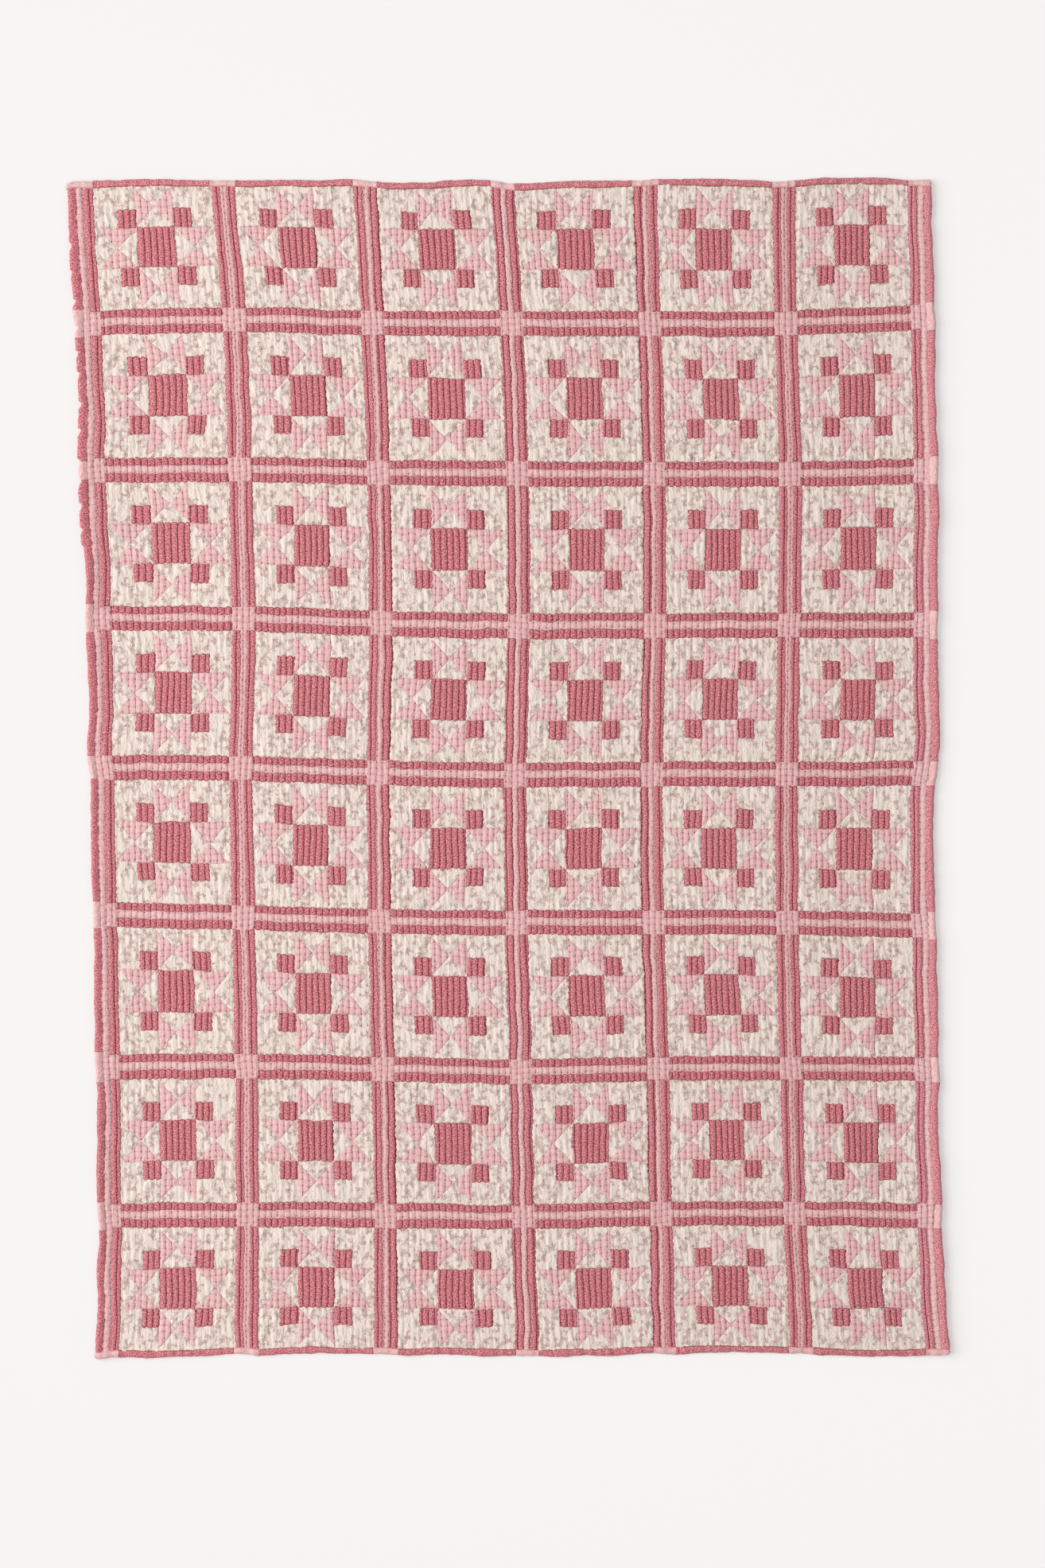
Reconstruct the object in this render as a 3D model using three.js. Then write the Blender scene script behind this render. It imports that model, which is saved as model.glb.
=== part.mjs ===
// Patchwork quilt throw, laid out flat with its pieced face up.
//
// Millimetres, +Z up. +X runs to the throw's right and +Y to its top edge. The origin lies on the
// surface that the throw rests on, under the middle of its outline.
//
// The throw is one quilted panel with a separate binding strip along each edge. Each piece is drawn on
// the flat, square throw as it was cut, and then laid: its points drift a little, as hand-quilted cloth
// does when it is spread out by hand, its edges bow in and out, and its sides lift off the surface.

import * as THREE from 'three';

// ---- Piecing, as cut -----------------------------------------------------------------------------

const BLOCKS_ACROSS = 6;
const BLOCKS_DOWN = 8;
const BLOCK_WIDTH = 174;
const BLOCK_HEIGHT = 189;
const SASH_WIDTH = 36; // the upright sashing between blocks
const SASH_HEIGHT = 38; // the level sashing between blocks
const SIDE_BORDER = 38; // from an outer block to the throw's side, its binding included
const SIDE_BINDING = 12.5; // the rolled strips at the two sides
const END_BINDING = 10; // the flatter strips along the top and the bottom
const BINDING_GAP = 0.3;
const CORNER_EAR = 4.5; // how far the top strip stands out past the left side

const FLAT_WIDTH = BLOCKS_ACROSS * BLOCK_WIDTH + (BLOCKS_ACROSS - 1) * SASH_WIDTH + 2 * SIDE_BORDER;
const FLAT_HEIGHT = BLOCKS_DOWN * BLOCK_HEIGHT + (BLOCKS_DOWN - 1) * SASH_HEIGHT + 2 * END_BINDING;

// ---- Thickness -----------------------------------------------------------------------------------

const SEAM_THICKNESS = 4.2; // where the sewn seams draw the layers together
const BLOCK_CROWN = 1.0; // how much fuller the middle of a block is
const BINDING_THICKNESS = 5.6;

// ---- How the throw lies --------------------------------------------------------------------------

// How far each crossing of the sashing has drifted from its place on the square throw. A row is one
// level seam from the top edge down, and a column is one upright seam from the left edge across.
//                   left  sash1  sash2  sash3  sash4  sash5  right
const DRIFT_RIGHTWARD = [
  /* top edge    */ [-21, -16, -8, -8, 0, 1, -3],
  /* level sash1 */ [-11, 3, 4, 6, 7, 5, 3],
  /* level sash2 */ [-5, 12, 13, 15, 14, 12, 7],
  /* level sash3 */ [6, 17, 17, 17, 14, 10, 6],
  /* level sash4 */ [9, 13, 13, 12, 10, 6, 6],
  /* level sash5 */ [15, 17, 15, 14, 12, 7, 4],
  /* level sash6 */ [21, 21, 20, 20, 20, 13, 9],
  /* level sash7 */ [23, 23, 24, 24, 24, 19, 12],
  /* bottom edge */ [19, 21, 24, 31, 30, 29, 25],
];
const DRIFT_UPWARD = [
  /* top edge    */ [-2, 0, 0, -3, 1, 0, 0],
  /* level sash1 */ [-2, 5, -1, -1, -2, -1, 10],
  /* level sash2 */ [1, 3, -2, -4, -4, -4, 1],
  /* level sash3 */ [3, 2, -5, -9, -8, -8, -8],
  /* level sash4 */ [2, 1, -6, -9, -8, -8, -7],
  /* level sash5 */ [5, 0, -6, -8, -7, -8, -13],
  /* level sash6 */ [-1, 0, -4, -8, -4, -3, -5],
  /* level sash7 */ [-2, 1, -1, -3, 2, 2, -1],
  /* bottom edge */ [-1, 2, 4, 3, 6, 5, 5],
];

// How far each edge bows out past that smooth shape, or in, along each block that it runs beside.
//          start  third  two thirds  end
const BOW_TOP = [
  /* block 1 */ [-1, 1.5, 2, 0],
  /* block 2 */ [0, 0.5, -0.5, 0.5],
  /* block 3 */ [-2, -3, 2.5, 2],
  /* block 4 */ [-2.5, -1, -1, -0.5],
  /* block 5 */ [1, 1, 1, -1],
  /* block 6 */ [1, 3, 3.5, 1],
];
const BOW_BOTTOM = [
  /* block 1 */ [-3, 0.5, -1.5, -3.5],
  /* block 2 */ [-0.5, -4, -2.5, -1.5],
  /* block 3 */ [0, -1, 0, 0],
  /* block 4 */ [0.5, 1, 1, -1],
  /* block 5 */ [0.5, -3, -2.5, -2],
  /* block 6 */ [-0.5, 1.5, 2, 1],
];
const BOW_LEFT = [
  /* block 1 */ [1, 1.5, 1.5, -1],
  /* block 2 */ [-1, -3, -4, -2],
  /* block 3 */ [-1.5, 0, -3, 0.5],
  /* block 4 */ [1, -1.5, -3, 1.5],
  /* block 5 */ [-2, -2, -1, -1],
  /* block 6 */ [-1, -2, 0, 1],
  /* block 7 */ [-1, -0.5, 0.5, 1],
  /* block 8 */ [-2, -1, -2, 0],
];
const BOW_RIGHT = [
  /* block 1 */ [0, -2, 0, -1],
  /* block 2 */ [0, -2, -1.5, 1],
  /* block 3 */ [-0.5, 1.5, -0.5, 1],
  /* block 4 */ [0.5, 2, 3.5, 3],
  /* block 5 */ [-3.5, -5, -3, -1],
  /* block 6 */ [0.5, 0, 0, -0.5],
  /* block 7 */ [0, -3, 0, 1.5],
  /* block 8 */ [0, 0.5, -1, 0.5],
];
const BOW_REACH = 90; // how far in from an edge its bows have died away

// How high the two side edges stand off the surface, from the top edge to the bottom edge.
const LIFT_LEFT = [4, 6, 9, 8, 5, 6, 7, 5, 3];
const LIFT_RIGHT = [5, 6, 7, 6, 4, 6, 6, 7, 6];
const LIFT_REACH = 96; // how far in from the side the lift has died away

// ---- Seam lines ----------------------------------------------------------------------------------

// Where the drift tables' columns lie, from the left edge: the side edges and the middle of each sash.
const DRIFT_COLUMNS = [0];
for (let sash = 0; sash < BLOCKS_ACROSS - 1; sash++) {
  DRIFT_COLUMNS.push(SIDE_BORDER + (sash + 1) * (BLOCK_WIDTH + SASH_WIDTH) - SASH_WIDTH / 2);
}
DRIFT_COLUMNS.push(FLAT_WIDTH);

// Where their rows lie, down from the top edge.
const DRIFT_ROWS = [0];
for (let sash = 0; sash < BLOCKS_DOWN - 1; sash++) {
  DRIFT_ROWS.push(END_BINDING + (sash + 1) * (BLOCK_HEIGHT + SASH_HEIGHT) - SASH_HEIGHT / 2);
}
DRIFT_ROWS.push(FLAT_HEIGHT);

// The panel's grid lines along one direction: each block's two seams and its two unit seams.
function gridLines(first, count, block, sash) {
  const lines = [];
  for (let n = 0; n < count; n++) {
    const start = first + n * (block + sash);
    lines.push(start, start + block / 3, start + (2 * block) / 3, start + block);
  }
  return lines;
}

const BLOCK_LINES_ACROSS = gridLines(SIDE_BORDER, BLOCKS_ACROSS, BLOCK_WIDTH, SASH_WIDTH);
const BLOCK_LINES_DOWN = gridLines(END_BINDING, BLOCKS_DOWN, BLOCK_HEIGHT, SASH_HEIGHT);

// The panel starts just inside its bindings.
const SIDE_INSET = SIDE_BINDING + BINDING_GAP;
const END_INSET = END_BINDING + BINDING_GAP;
const ACROSS = [SIDE_INSET, ...BLOCK_LINES_ACROSS, FLAT_WIDTH - SIDE_INSET];
const DOWN = [END_INSET, ...BLOCK_LINES_DOWN.slice(1, -1), FLAT_HEIGHT - END_INSET];

// ---- Laying the cloth ----------------------------------------------------------------------------

// A smooth curve through values at uneven knots: a cubic between each pair, with its slope at a knot
// taken from the knot's two neighbours.
function smoothThrough(knots, values, at) {
  let k = 0;
  while (k < knots.length - 2 && at > knots[k + 1]) k++;
  const slope = (n) => {
    const before = Math.max(n - 1, 0);
    const after = Math.min(n + 1, knots.length - 1);
    return (values[after] - values[before]) / (knots[after] - knots[before]);
  };
  const span = knots[k + 1] - knots[k];
  const t = (at - knots[k]) / span;
  const bend = t * t * (3 - 2 * t);
  return (
    values[k] * (1 - bend) +
    values[k + 1] * bend +
    slope(k) * span * t * (1 - t) * (1 - t) -
    slope(k + 1) * span * t * t * (1 - t)
  );
}

function drift(table, across, down) {
  const alongRows = table.map((row) => smoothThrough(DRIFT_COLUMNS, row, across));
  return smoothThrough(DRIFT_ROWS, alongRows, down);
}

// How far an edge bows out, beside a point that is `inward` of it and `along` it.
function bow(table, lines, length, along, inward) {
  const t = Math.min(Math.max(inward, 0) / BOW_REACH, 1);
  return smoothThrough([0, ...lines, length], [0, ...table.flat(), 0], along) * (1 - t * t * (3 - 2 * t));
}

function bowRightward(across, down) {
  return (
    bow(BOW_RIGHT, BLOCK_LINES_DOWN, FLAT_HEIGHT, down, FLAT_WIDTH - across) -
    bow(BOW_LEFT, BLOCK_LINES_DOWN, FLAT_HEIGHT, down, across)
  );
}

function bowUpward(across, down) {
  return (
    bow(BOW_TOP, BLOCK_LINES_ACROSS, FLAT_WIDTH, across, down) -
    bow(BOW_BOTTOM, BLOCK_LINES_ACROSS, FLAT_WIDTH, across, FLAT_HEIGHT - down)
  );
}

// The height of the throw's underside: nought, but for the lifted sides.
function lift(across, down) {
  const fromLeft = 1 - Math.min(across / LIFT_REACH, 1);
  const fromRight = 1 - Math.min((FLAT_WIDTH - across) / LIFT_REACH, 1);
  return (
    smoothThrough(DRIFT_ROWS, LIFT_LEFT, down) * fromLeft ** 1.5 +
    smoothThrough(DRIFT_ROWS, LIFT_RIGHT, down) * fromRight ** 1.5
  );
}

// The flat throw's middle, placed so that the middle of the laid outline is over the origin.
const MIDDLE_X = 0.5;
const MIDDLE_Y = -1.2;

// A point of the flat throw, at a height above its underside, where it lies.
function lay(across, down, height) {
  return new THREE.Vector3(
    MIDDLE_X + across - FLAT_WIDTH / 2 + drift(DRIFT_RIGHTWARD, across, down) + bowRightward(across, down),
    MIDDLE_Y + FLAT_HEIGHT / 2 - down + drift(DRIFT_UPWARD, across, down) + bowUpward(across, down),
    lift(across, down) + height,
  );
}

// How far along a block a line is, from 0 at its seam to 1 at its far seam, or 0 in a sash.
function alongBlock(at, first, block, sash) {
  const place = (at - first) % (block + sash);
  return at > first && place < block ? place / block : 0;
}

function panelThickness(across, down) {
  const i = alongBlock(across, SIDE_BORDER, BLOCK_WIDTH, SASH_WIDTH);
  const j = alongBlock(down, END_BINDING, BLOCK_HEIGHT, SASH_HEIGHT);
  return SEAM_THICKNESS + BLOCK_CROWN * Math.sin(Math.PI * i) * Math.sin(Math.PI * j);
}

// ---- Closed bodies -------------------------------------------------------------------------------

function meshOf(name, points, triangles, material) {
  const geometry = new THREE.BufferGeometry();
  geometry.setAttribute('position', new THREE.Float32BufferAttribute(points.flatMap((p) => p.toArray()), 3));
  geometry.setIndex(triangles.flat());
  geometry.computeVertexNormals();
  const mesh = new THREE.Mesh(geometry, material);
  mesh.name = name;
  return mesh;
}

// The panel: one grid of points on its face, one on its underside, and a wall around the rim.
function quiltPanel(material) {
  const columns = ACROSS.length;
  const rows = DOWN.length;
  const faces = { top: [], under: [] };
  for (const down of DOWN) {
    for (const across of ACROSS) {
      faces.top.push(lay(across, down, panelThickness(across, down)));
      faces.under.push(lay(across, down, 0));
    }
  }
  const underStart = faces.top.length;
  const triangles = [];
  for (let r = 0; r < rows - 1; r++) {
    for (let c = 0; c < columns - 1; c++) {
      const a = r * columns + c; // upper left
      const b = a + 1;
      const d = a + columns; // lower left
      const e = d + 1;
      triangles.push([a, d, b], [b, d, e]);
      triangles.push([underStart + a, underStart + b, underStart + d]);
      triangles.push([underStart + b, underStart + e, underStart + d]);
    }
  }
  const rim = [];
  for (let c = 0; c < columns - 1; c++) rim.push(c);
  for (let r = 0; r < rows - 1; r++) rim.push(r * columns + columns - 1);
  for (let c = columns - 1; c > 0; c--) rim.push((rows - 1) * columns + c);
  for (let r = rows - 1; r > 0; r--) rim.push(r * columns);
  rim.forEach((here, n) => {
    const next = rim[(n + 1) % rim.length];
    triangles.push([here, next, underStart + here], [next, underStart + next, underStart + here]);
  });
  return meshOf('quilt_panel', [...faces.top, ...faces.under], triangles, material);
}

// A binding's section, as shares of its width in from the outer edge and of its thickness up. The inner
// side stands straight against the panel, and the outer side is the rolled fold.
const BINDING_SECTION = [
  [1.0, 0.0],
  [1.0, 0.84],
  [0.72, 1.0],
  [0.36, 0.98],
  [0.1, 0.78],
  [0.0, 0.46],
  [0.05, 0.16],
  [0.2, 0.0],
];

// A binding strip: its section carried along an edge. `stations` run along that edge, and `place` turns
// a station and a distance in from the edge into a point of the flat throw.
function bindingStrip(name, width, stations, place, material) {
  const sides = BINDING_SECTION.length;
  const points = [];
  for (const station of stations) {
    for (const [inward, up] of BINDING_SECTION) {
      const [across, down] = place(station, inward * width);
      points.push(lay(across, down, up * BINDING_THICKNESS));
    }
  }
  const triangles = [];
  for (let s = 0; s < stations.length - 1; s++) {
    for (let n = 0; n < sides; n++) {
      const a = s * sides + n;
      const b = s * sides + ((n + 1) % sides);
      triangles.push([a, a + sides, b], [b, a + sides, b + sides]);
    }
  }
  const last = (stations.length - 1) * sides;
  for (let n = 1; n < sides - 1; n++) {
    triangles.push([0, n, n + 1], [last, last + n + 1, last + n]);
  }
  return meshOf(name, points, triangles, material);
}

// ---- The throw -----------------------------------------------------------------------------------

const pieced = new THREE.MeshStandardMaterial({ color: 0xe6c4bf, roughness: 0.95, metalness: 0 });
const rose = new THREE.MeshStandardMaterial({ color: 0xc56478, roughness: 0.95, metalness: 0 });

// The top and bottom strips run the whole width, and the side strips run between them.
const WHOLE_WIDTH = [0, ...ACROSS, FLAT_WIDTH];
const TOP_STATIONS = [-CORNER_EAR, ...WHOLE_WIDTH];
const overTop = (across, inward) => [across, inward];
const overBottom = (across, inward) => [FLAT_WIDTH - across, FLAT_HEIGHT - inward];
const overLeft = (down, inward) => [inward, FLAT_HEIGHT - down];
const overRight = (down, inward) => [FLAT_WIDTH - inward, down];

const patchworkThrow = new THREE.Group();
patchworkThrow.add(
  quiltPanel(pieced),
  bindingStrip('binding_top', END_BINDING, TOP_STATIONS, overTop, rose),
  bindingStrip('binding_bottom', END_BINDING, WHOLE_WIDTH, overBottom, rose),
  bindingStrip('binding_left', SIDE_BINDING, DOWN, overLeft, rose),
  bindingStrip('binding_right', SIDE_BINDING, DOWN, overRight, rose),
);

export default patchworkThrow;
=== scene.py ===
"""Patchwork quilt throw: pieced and hand-quilted cotton, laid out flat with its face up.

The throw is worked out flat, in millimetres across from its left edge and down from its top edge,
and then laid as the CAD model lies. Everything that Blender sees is in metres.
"""

import math

import bpy
import mathutils
import numpy as np
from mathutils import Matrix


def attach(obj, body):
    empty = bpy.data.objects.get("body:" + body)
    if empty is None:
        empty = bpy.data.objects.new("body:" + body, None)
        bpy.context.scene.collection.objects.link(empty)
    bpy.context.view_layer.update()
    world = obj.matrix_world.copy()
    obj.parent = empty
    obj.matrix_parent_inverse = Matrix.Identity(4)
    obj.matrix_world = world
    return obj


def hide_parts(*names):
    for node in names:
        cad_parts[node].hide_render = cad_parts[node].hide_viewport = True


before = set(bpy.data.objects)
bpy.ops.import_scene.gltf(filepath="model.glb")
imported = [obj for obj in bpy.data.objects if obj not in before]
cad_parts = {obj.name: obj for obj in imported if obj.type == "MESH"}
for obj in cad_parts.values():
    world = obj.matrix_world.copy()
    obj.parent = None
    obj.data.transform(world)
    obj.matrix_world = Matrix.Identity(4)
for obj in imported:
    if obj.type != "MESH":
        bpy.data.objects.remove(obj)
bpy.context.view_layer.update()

MM = 0.001  # in metres

# ---- Piecing, as cut ----------------------------------------------------------------------------

BLOCKS_ACROSS = 6
BLOCKS_DOWN = 8
BLOCK_WIDTH = 175.4
BLOCK_HEIGHT = 189.8
SASH_WIDTH = 34.6
SASH_HEIGHT = 37.2
SIDE_BORDER = 37.3
SIDE_BINDING = 12.5
END_BINDING = 9.6
CORNER_EAR = 4.5
BLOCK_PITCH = BLOCK_WIDTH + SASH_WIDTH
ROW_PITCH = BLOCK_HEIGHT + SASH_HEIGHT

FLAT_WIDTH = BLOCKS_ACROSS * BLOCK_PITCH - SASH_WIDTH + 2 * SIDE_BORDER
FLAT_HEIGHT = BLOCKS_DOWN * ROW_PITCH - SASH_HEIGHT + 2 * END_BINDING

UPRIGHT_STRIPS = (12.7, 22.0)  # where an upright sash turns from rose to pink and back
LEVEL_STRIPS = (11.2, 23.9)  # the same, down a level sash
BORDER_STRIP = 23.2  # where the border turns from pink to rose, in from the side

# Inside a block: the seams between its nine units, the outer sides of the rose corner patches, and
# how far the points of the hourglass triangles stop short of the seams beyond them.
UNIT_SEAMS_ACROSS = (60.4, 115.2)
UNIT_SEAMS_DOWN = (63.7, 126.1)
CORNER_PATCHES_ACROSS = (33.5, 142.1)
CORNER_PATCHES_DOWN = (35.6, 153.6)
OUTER_SHORTFALL = 3.2
INNER_SHORTFALL = 1.2
TUCKED_UNDER = 1.4  # how far the top runs on beneath the bindings

CREAM, PINK, ROSE = 0, 1, 2
FABRICS = ("cream", "pink", "rose")

# ---- How the throw lies, as in the CAD model ----------------------------------------------------

MIDDLE_X = 0.5  # where the middle of the flat throw lies
MIDDLE_Y = -1.2

# One row for each level seam from the top edge down, one column for each upright seam from the left.
#    left sash1 sash2 sash3 sash4 sash5 right
DRIFT_RIGHTWARD = (
    (-21, -16, -8, -8, 0, 1, -3),
    (-11, 3, 4, 6, 7, 5, 3),
    (-5, 12, 13, 15, 14, 12, 7),
    (6, 17, 17, 17, 14, 10, 6),
    (9, 13, 13, 12, 10, 6, 6),
    (15, 17, 15, 14, 12, 7, 4),
    (21, 21, 20, 20, 20, 13, 9),
    (23, 23, 24, 24, 24, 19, 12),
    (19, 21, 24, 31, 30, 29, 25),
)
DRIFT_UPWARD = (
    (-2, 0, 0, -3, 1, 0, 0),
    (-2, 5, -1, -1, -2, -1, 10),
    (1, 3, -2, -4, -4, -4, 1),
    (3, 2, -5, -9, -8, -8, -8),
    (2, 1, -6, -9, -8, -8, -7),
    (5, 0, -6, -8, -7, -8, -13),
    (-1, 0, -4, -8, -4, -3, -5),
    (-2, 1, -1, -3, 2, 2, -1),
    (-1, 2, 4, 3, 6, 5, 5),
)

# How far each edge bows out beside each block: at its first seam, its two unit seams and its last.
BOW_TOP = (
    (-1, 1.5, 2, 0),
    (0, 0.5, -0.5, 0.5),
    (-2, -3, 2.5, 2),
    (-2.5, -1, -1, -0.5),
    (1, 1, 1, -1),
    (1, 3, 3.5, 1),
)
BOW_BOTTOM = (
    (-3, 0.5, -1.5, -3.5),
    (-0.5, -4, -2.5, -1.5),
    (0, -1, 0, 0),
    (0.5, 1, 1, -1),
    (0.5, -3, -2.5, -2),
    (-0.5, 1.5, 2, 1),
)
BOW_LEFT = (
    (1, 1.5, 1.5, -1),
    (-1, -3, -4, -2),
    (-1.5, 0, -3, 0.5),
    (1, -1.5, -3, 1.5),
    (-2, -2, -1, -1),
    (-1, -2, 0, 1),
    (-1, -0.5, 0.5, 1),
    (-2, -1, -2, 0),
)
BOW_RIGHT = (
    (0, -2, 0, -1),
    (0, -2, -1.5, 1),
    (-0.5, 1.5, -0.5, 1),
    (0.5, 2, 3.5, 3),
    (-3.5, -5, -3, -1),
    (0.5, 0, 0, -0.5),
    (0, -3, 0, 1.5),
    (0, 0.5, -1, 0.5),
)
BOW_REACH = 90.0  # how far in from the edge the bow fades out
# Roughly where those seams are.
BOW_KNOTS_ACROSS = [38 + 210 * block + part for block in range(6) for part in (0, 58, 116, 174)]
BOW_KNOTS_DOWN = [10 + 227 * block + part for block in range(8) for part in (0, 63, 126, 189)]

# How far the middle of each block is pulled out of line with the seams round it.
PULL_RIGHTWARD = (
    (0, -2, -1, -3, -4.5, -1),
    (6, 1, 2.5, 1.5, 1, 1),
    (2, 0.5, 0, -0.5, 0.5, 1.5),
    (3, 0, 0, -0.5, 0, 3.5),
    (0, 0, 1.5, -1, -0.5, -1),
    (0, 0, 0, -1, 0, 1.5),
    (-0.5, 0, 0, 0.5, 1, 2.5),
    (0, 0, 0, -1, -0.5, 0),
)
PULL_UPWARD = (
    (1, -0.5, -0.5, 0, -1.5, 3),
    (0, 0, 0, 0, 0, 1),
    (0.5, 0.5, 0, 0.5, 0, 1.5),
    (0, -0.5, 0, 0, 1, 0),
    (-1, -0.5, 0.5, 0, 0, 0),
    (0, 0, 1, 1.5, 1.5, -1),
    (0, 0.5, 0, 0, 1.5, -2),
    (1, 1.5, 0, -0.5, 1, -1),
)

# How far the cloth rises from the floor to each side roll, from the top edge down.
LIFT_LEFT = (4, 6, 9, 8, 5, 6, 7, 5, 3)
LIFT_RIGHT = (5, 6, 7, 6, 4, 6, 6, 7, 6)
LIFT_REACH = 96.0  # how far in from the edge that fades out
LIFT_CURVE = 1.5

# ---- Quilting -----------------------------------------------------------------------------------

CHANNELS = 135
STITCHES_PER_BLOCK = 19
STITCHES_PER_SASH = 4
STITCH_PLACE = 1 / 3  # where the stitch lies in each stitch's length of line
COLUMNS_PER_CHANNEL = 4
ROWS_PER_STITCH = 3
LINE_CLAIM = 0.5  # a seam this near a line of quilting takes over its column of points
COLUMN_CLAIM = 1.0  # and this near any other column
HAIR = 0.01  # too little to show

GROOVE_HEIGHT = 2.7  # the cloth under a stitch, above the surface that the throw lies on
CROWN = (1.3, 1.9, 1.8)  # how far a channel stands above its stitches, in each fabric
FLATNESS = (0.75, 0.75, 0.45)  # nearer 0, a flatter crest between steeper sides
BRIDGE = (0.8, 0.8, 0.5)  # how far the line rises between two stitches
CREASE = (0.25, 0.6, 0.12)  # how far a channel's crown dips level with the stitches
PUCKER = (0.65, 0.1, 0.05)  # how far the loose cloth between the stitches gathers up and down
PINCH_SHARPNESS = 1.5  # how short a pinch each stitch makes
SEAM_WANDER = 0.8  # how far cloth wanders near its seams
SEAM_SINK = 0.55  # how much of its height the cloth loses at a seam
SEAM_REACH = 1.8  # and how far to each side
SEAM_SWELL = 1.45  # how far rose cloth swells over its seams and is drawn back, altogether
SWELL_FLATNESS = 0.6  # nearer 0, a flatter swell from line to line
HELD_BY_LINES = 0.45  # the share of that by which the lines draw it back at a level seam
HELD_BY_STITCHES = 0.4  # and the stitches at an upright one
WANDER_REACH = 4.0  # how far from a seam the cloth wanders with it
FAR_OFF = 9.0  # beyond this from any seam, the distance isn't counted
ONE_FABRIC = 0.99  # less than this share of its commonest fabric puts a point on a seam
BLOCK_CROWN = 0.15  # how far a block's middle stands above its sides
SIDE_CLIMB = 0.2  # how far the cloth climbs to each side roll, across its last channel
LEAST_GAP = 0.25  # how close two points may be drawn, as a share of the flat cloth between them

# Unevenness of each kind: how much, its seed, and how far apart its bumps are across and down.
CREEP_RIGHTWARD = (0.6, 11, 34, 41)
CREEP_UPWARD = (0.6, 12, 38, 36)
SHIFT_RIGHTWARD = (0.3, 13, 9, 10)
SHIFT_UPWARD = (0.3, 14, 10, 9)
STITCH_WANDER = (0.24, 21, 11, 60)  # in stitches
BROAD_WAVES = (0.45, 31, 120, 140)
SMALL_WAVES = (0.25, 32, 30, 50)
FULLNESS = (0.2, 33, 11, 22)  # as a share of a channel's crown
PUCKERS = (1.0, 34, 6.5, 17)  # as a share of the fabric's pucker
BACK_CRUMPLES = (1.0, 35, 11, 21)  # as a share of how far the back is crumpled
LINE_WANDER = (0.9, 41, 45, 55)
SWELLS = (0.7, 42, 6, 6)  # as a share of the swell over a seam
WANDER_ACROSS = (1.0, 43, 60, 18)  # as a share of the wander near a seam
WANDER_DOWN = (1.0, 44, 18, 60)


def starts(first, count, pitch):
    return [first + n * pitch for n in range(count)]


BLOCK_LEFTS = starts(SIDE_BORDER, BLOCKS_ACROSS, BLOCK_PITCH)
BLOCK_TOPS = starts(END_BINDING, BLOCKS_DOWN, ROW_PITCH)

# The lines of quilting run evenly from one side binding to the other.
LINES = np.linspace(SIDE_BINDING, FLAT_WIDTH - SIDE_BINDING, CHANNELS + 1)


# ---- Smooth curves and noise --------------------------------------------------------------------

NOISE_MARGIN = 60  # how far past the throw's edges the noise goes on
NOISE_SPARE = 6  # values past that, for the smoothing to reach
NOISE_REACH = 1.3


def eased(t):
    """From 0 to 1 as t goes from 0 to 1, level at both."""
    return t * t * (3 - 2 * t)


def smooth_through(knots, values, at):
    """A smooth curve through values at uneven knots. `values` has one row for each knot, and either
    one value a row or one for each place in `at`."""
    knots, values, at = (np.asarray(each, float) for each in (knots, values, at))
    n = np.arange(len(knots))
    before, after = np.maximum(n - 1, 0), np.minimum(n + 1, len(knots) - 1)
    gap = (knots[after] - knots[before]).reshape((-1,) + (1,) * (values.ndim - 1))
    slopes = (values[after] - values[before]) / gap
    k = np.clip(np.searchsorted(knots, at) - 1, 0, len(knots) - 2)
    here, there = k, k + 1
    if values.ndim > 1:
        here, there = (k, np.arange(len(at))), (k + 1, np.arange(len(at)))
    span = knots[k + 1] - knots[k]
    t = (at - knots[k]) / span
    level = values[here] * (1 - eased(t)) + values[there] * eased(t)
    return level + span * t * (1 - t) * (slopes[here] * (1 - t) - slopes[there] * t)


def catmull_rom(t):
    """How much each of four neighbours in a row counts, for a point between the middle two."""
    return (
        -0.5 * t + t * t - 0.5 * t**3,
        1 - 2.5 * t * t + 1.5 * t**3,
        0.5 * t + 2 * t * t - 1.5 * t**3,
        -0.5 * t * t + 0.5 * t**3,
    )


def uneven(kind, across, down):
    """Smooth noise of one kind, mostly within its size of 0."""
    size, seed, grain_across, grain_down = kind
    x = (np.asarray(across, float) + NOISE_MARGIN) / grain_across + 1
    y = (np.asarray(down, float) + NOISE_MARGIN) / grain_down + 1
    rows = int((FLAT_HEIGHT + 2 * NOISE_MARGIN) / grain_down) + NOISE_SPARE
    columns = int((FLAT_WIDTH + 2 * NOISE_MARGIN) / grain_across) + NOISE_SPARE
    values = np.random.default_rng(seed).uniform(-NOISE_REACH, NOISE_REACH, (rows, columns))
    column, row = np.floor(x).astype(int), np.floor(y).astype(int)
    total = 0.0
    for b, weight_down in enumerate(catmull_rom(y - row)):
        for a, weight_across in enumerate(catmull_rom(x - column)):
            total = total + values[row + b - 1, column + a - 1] * weight_down * weight_across
    return size * total


# ---- Laying the cloth ---------------------------------------------------------------------------

SASH_MIDDLES_ACROSS = [left + BLOCK_WIDTH + SASH_WIDTH / 2 for left in BLOCK_LEFTS[:-1]]
SASH_MIDDLES_DOWN = [top + BLOCK_HEIGHT + SASH_HEIGHT / 2 for top in BLOCK_TOPS[:-1]]
DRIFT_COLUMNS = [0.0, *SASH_MIDDLES_ACROSS, FLAT_WIDTH]
DRIFT_ROWS = [0.0, *SASH_MIDDLES_DOWN, FLAT_HEIGHT]
MIDDLING = 16  # brings a * (1 - a) * b * (1 - b) up to 1 in the middle of a block


def drift(table, across, down):
    along_rows = np.array([smooth_through(DRIFT_COLUMNS, row, across) for row in table])
    return smooth_through(DRIFT_ROWS, along_rows, down)


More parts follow.
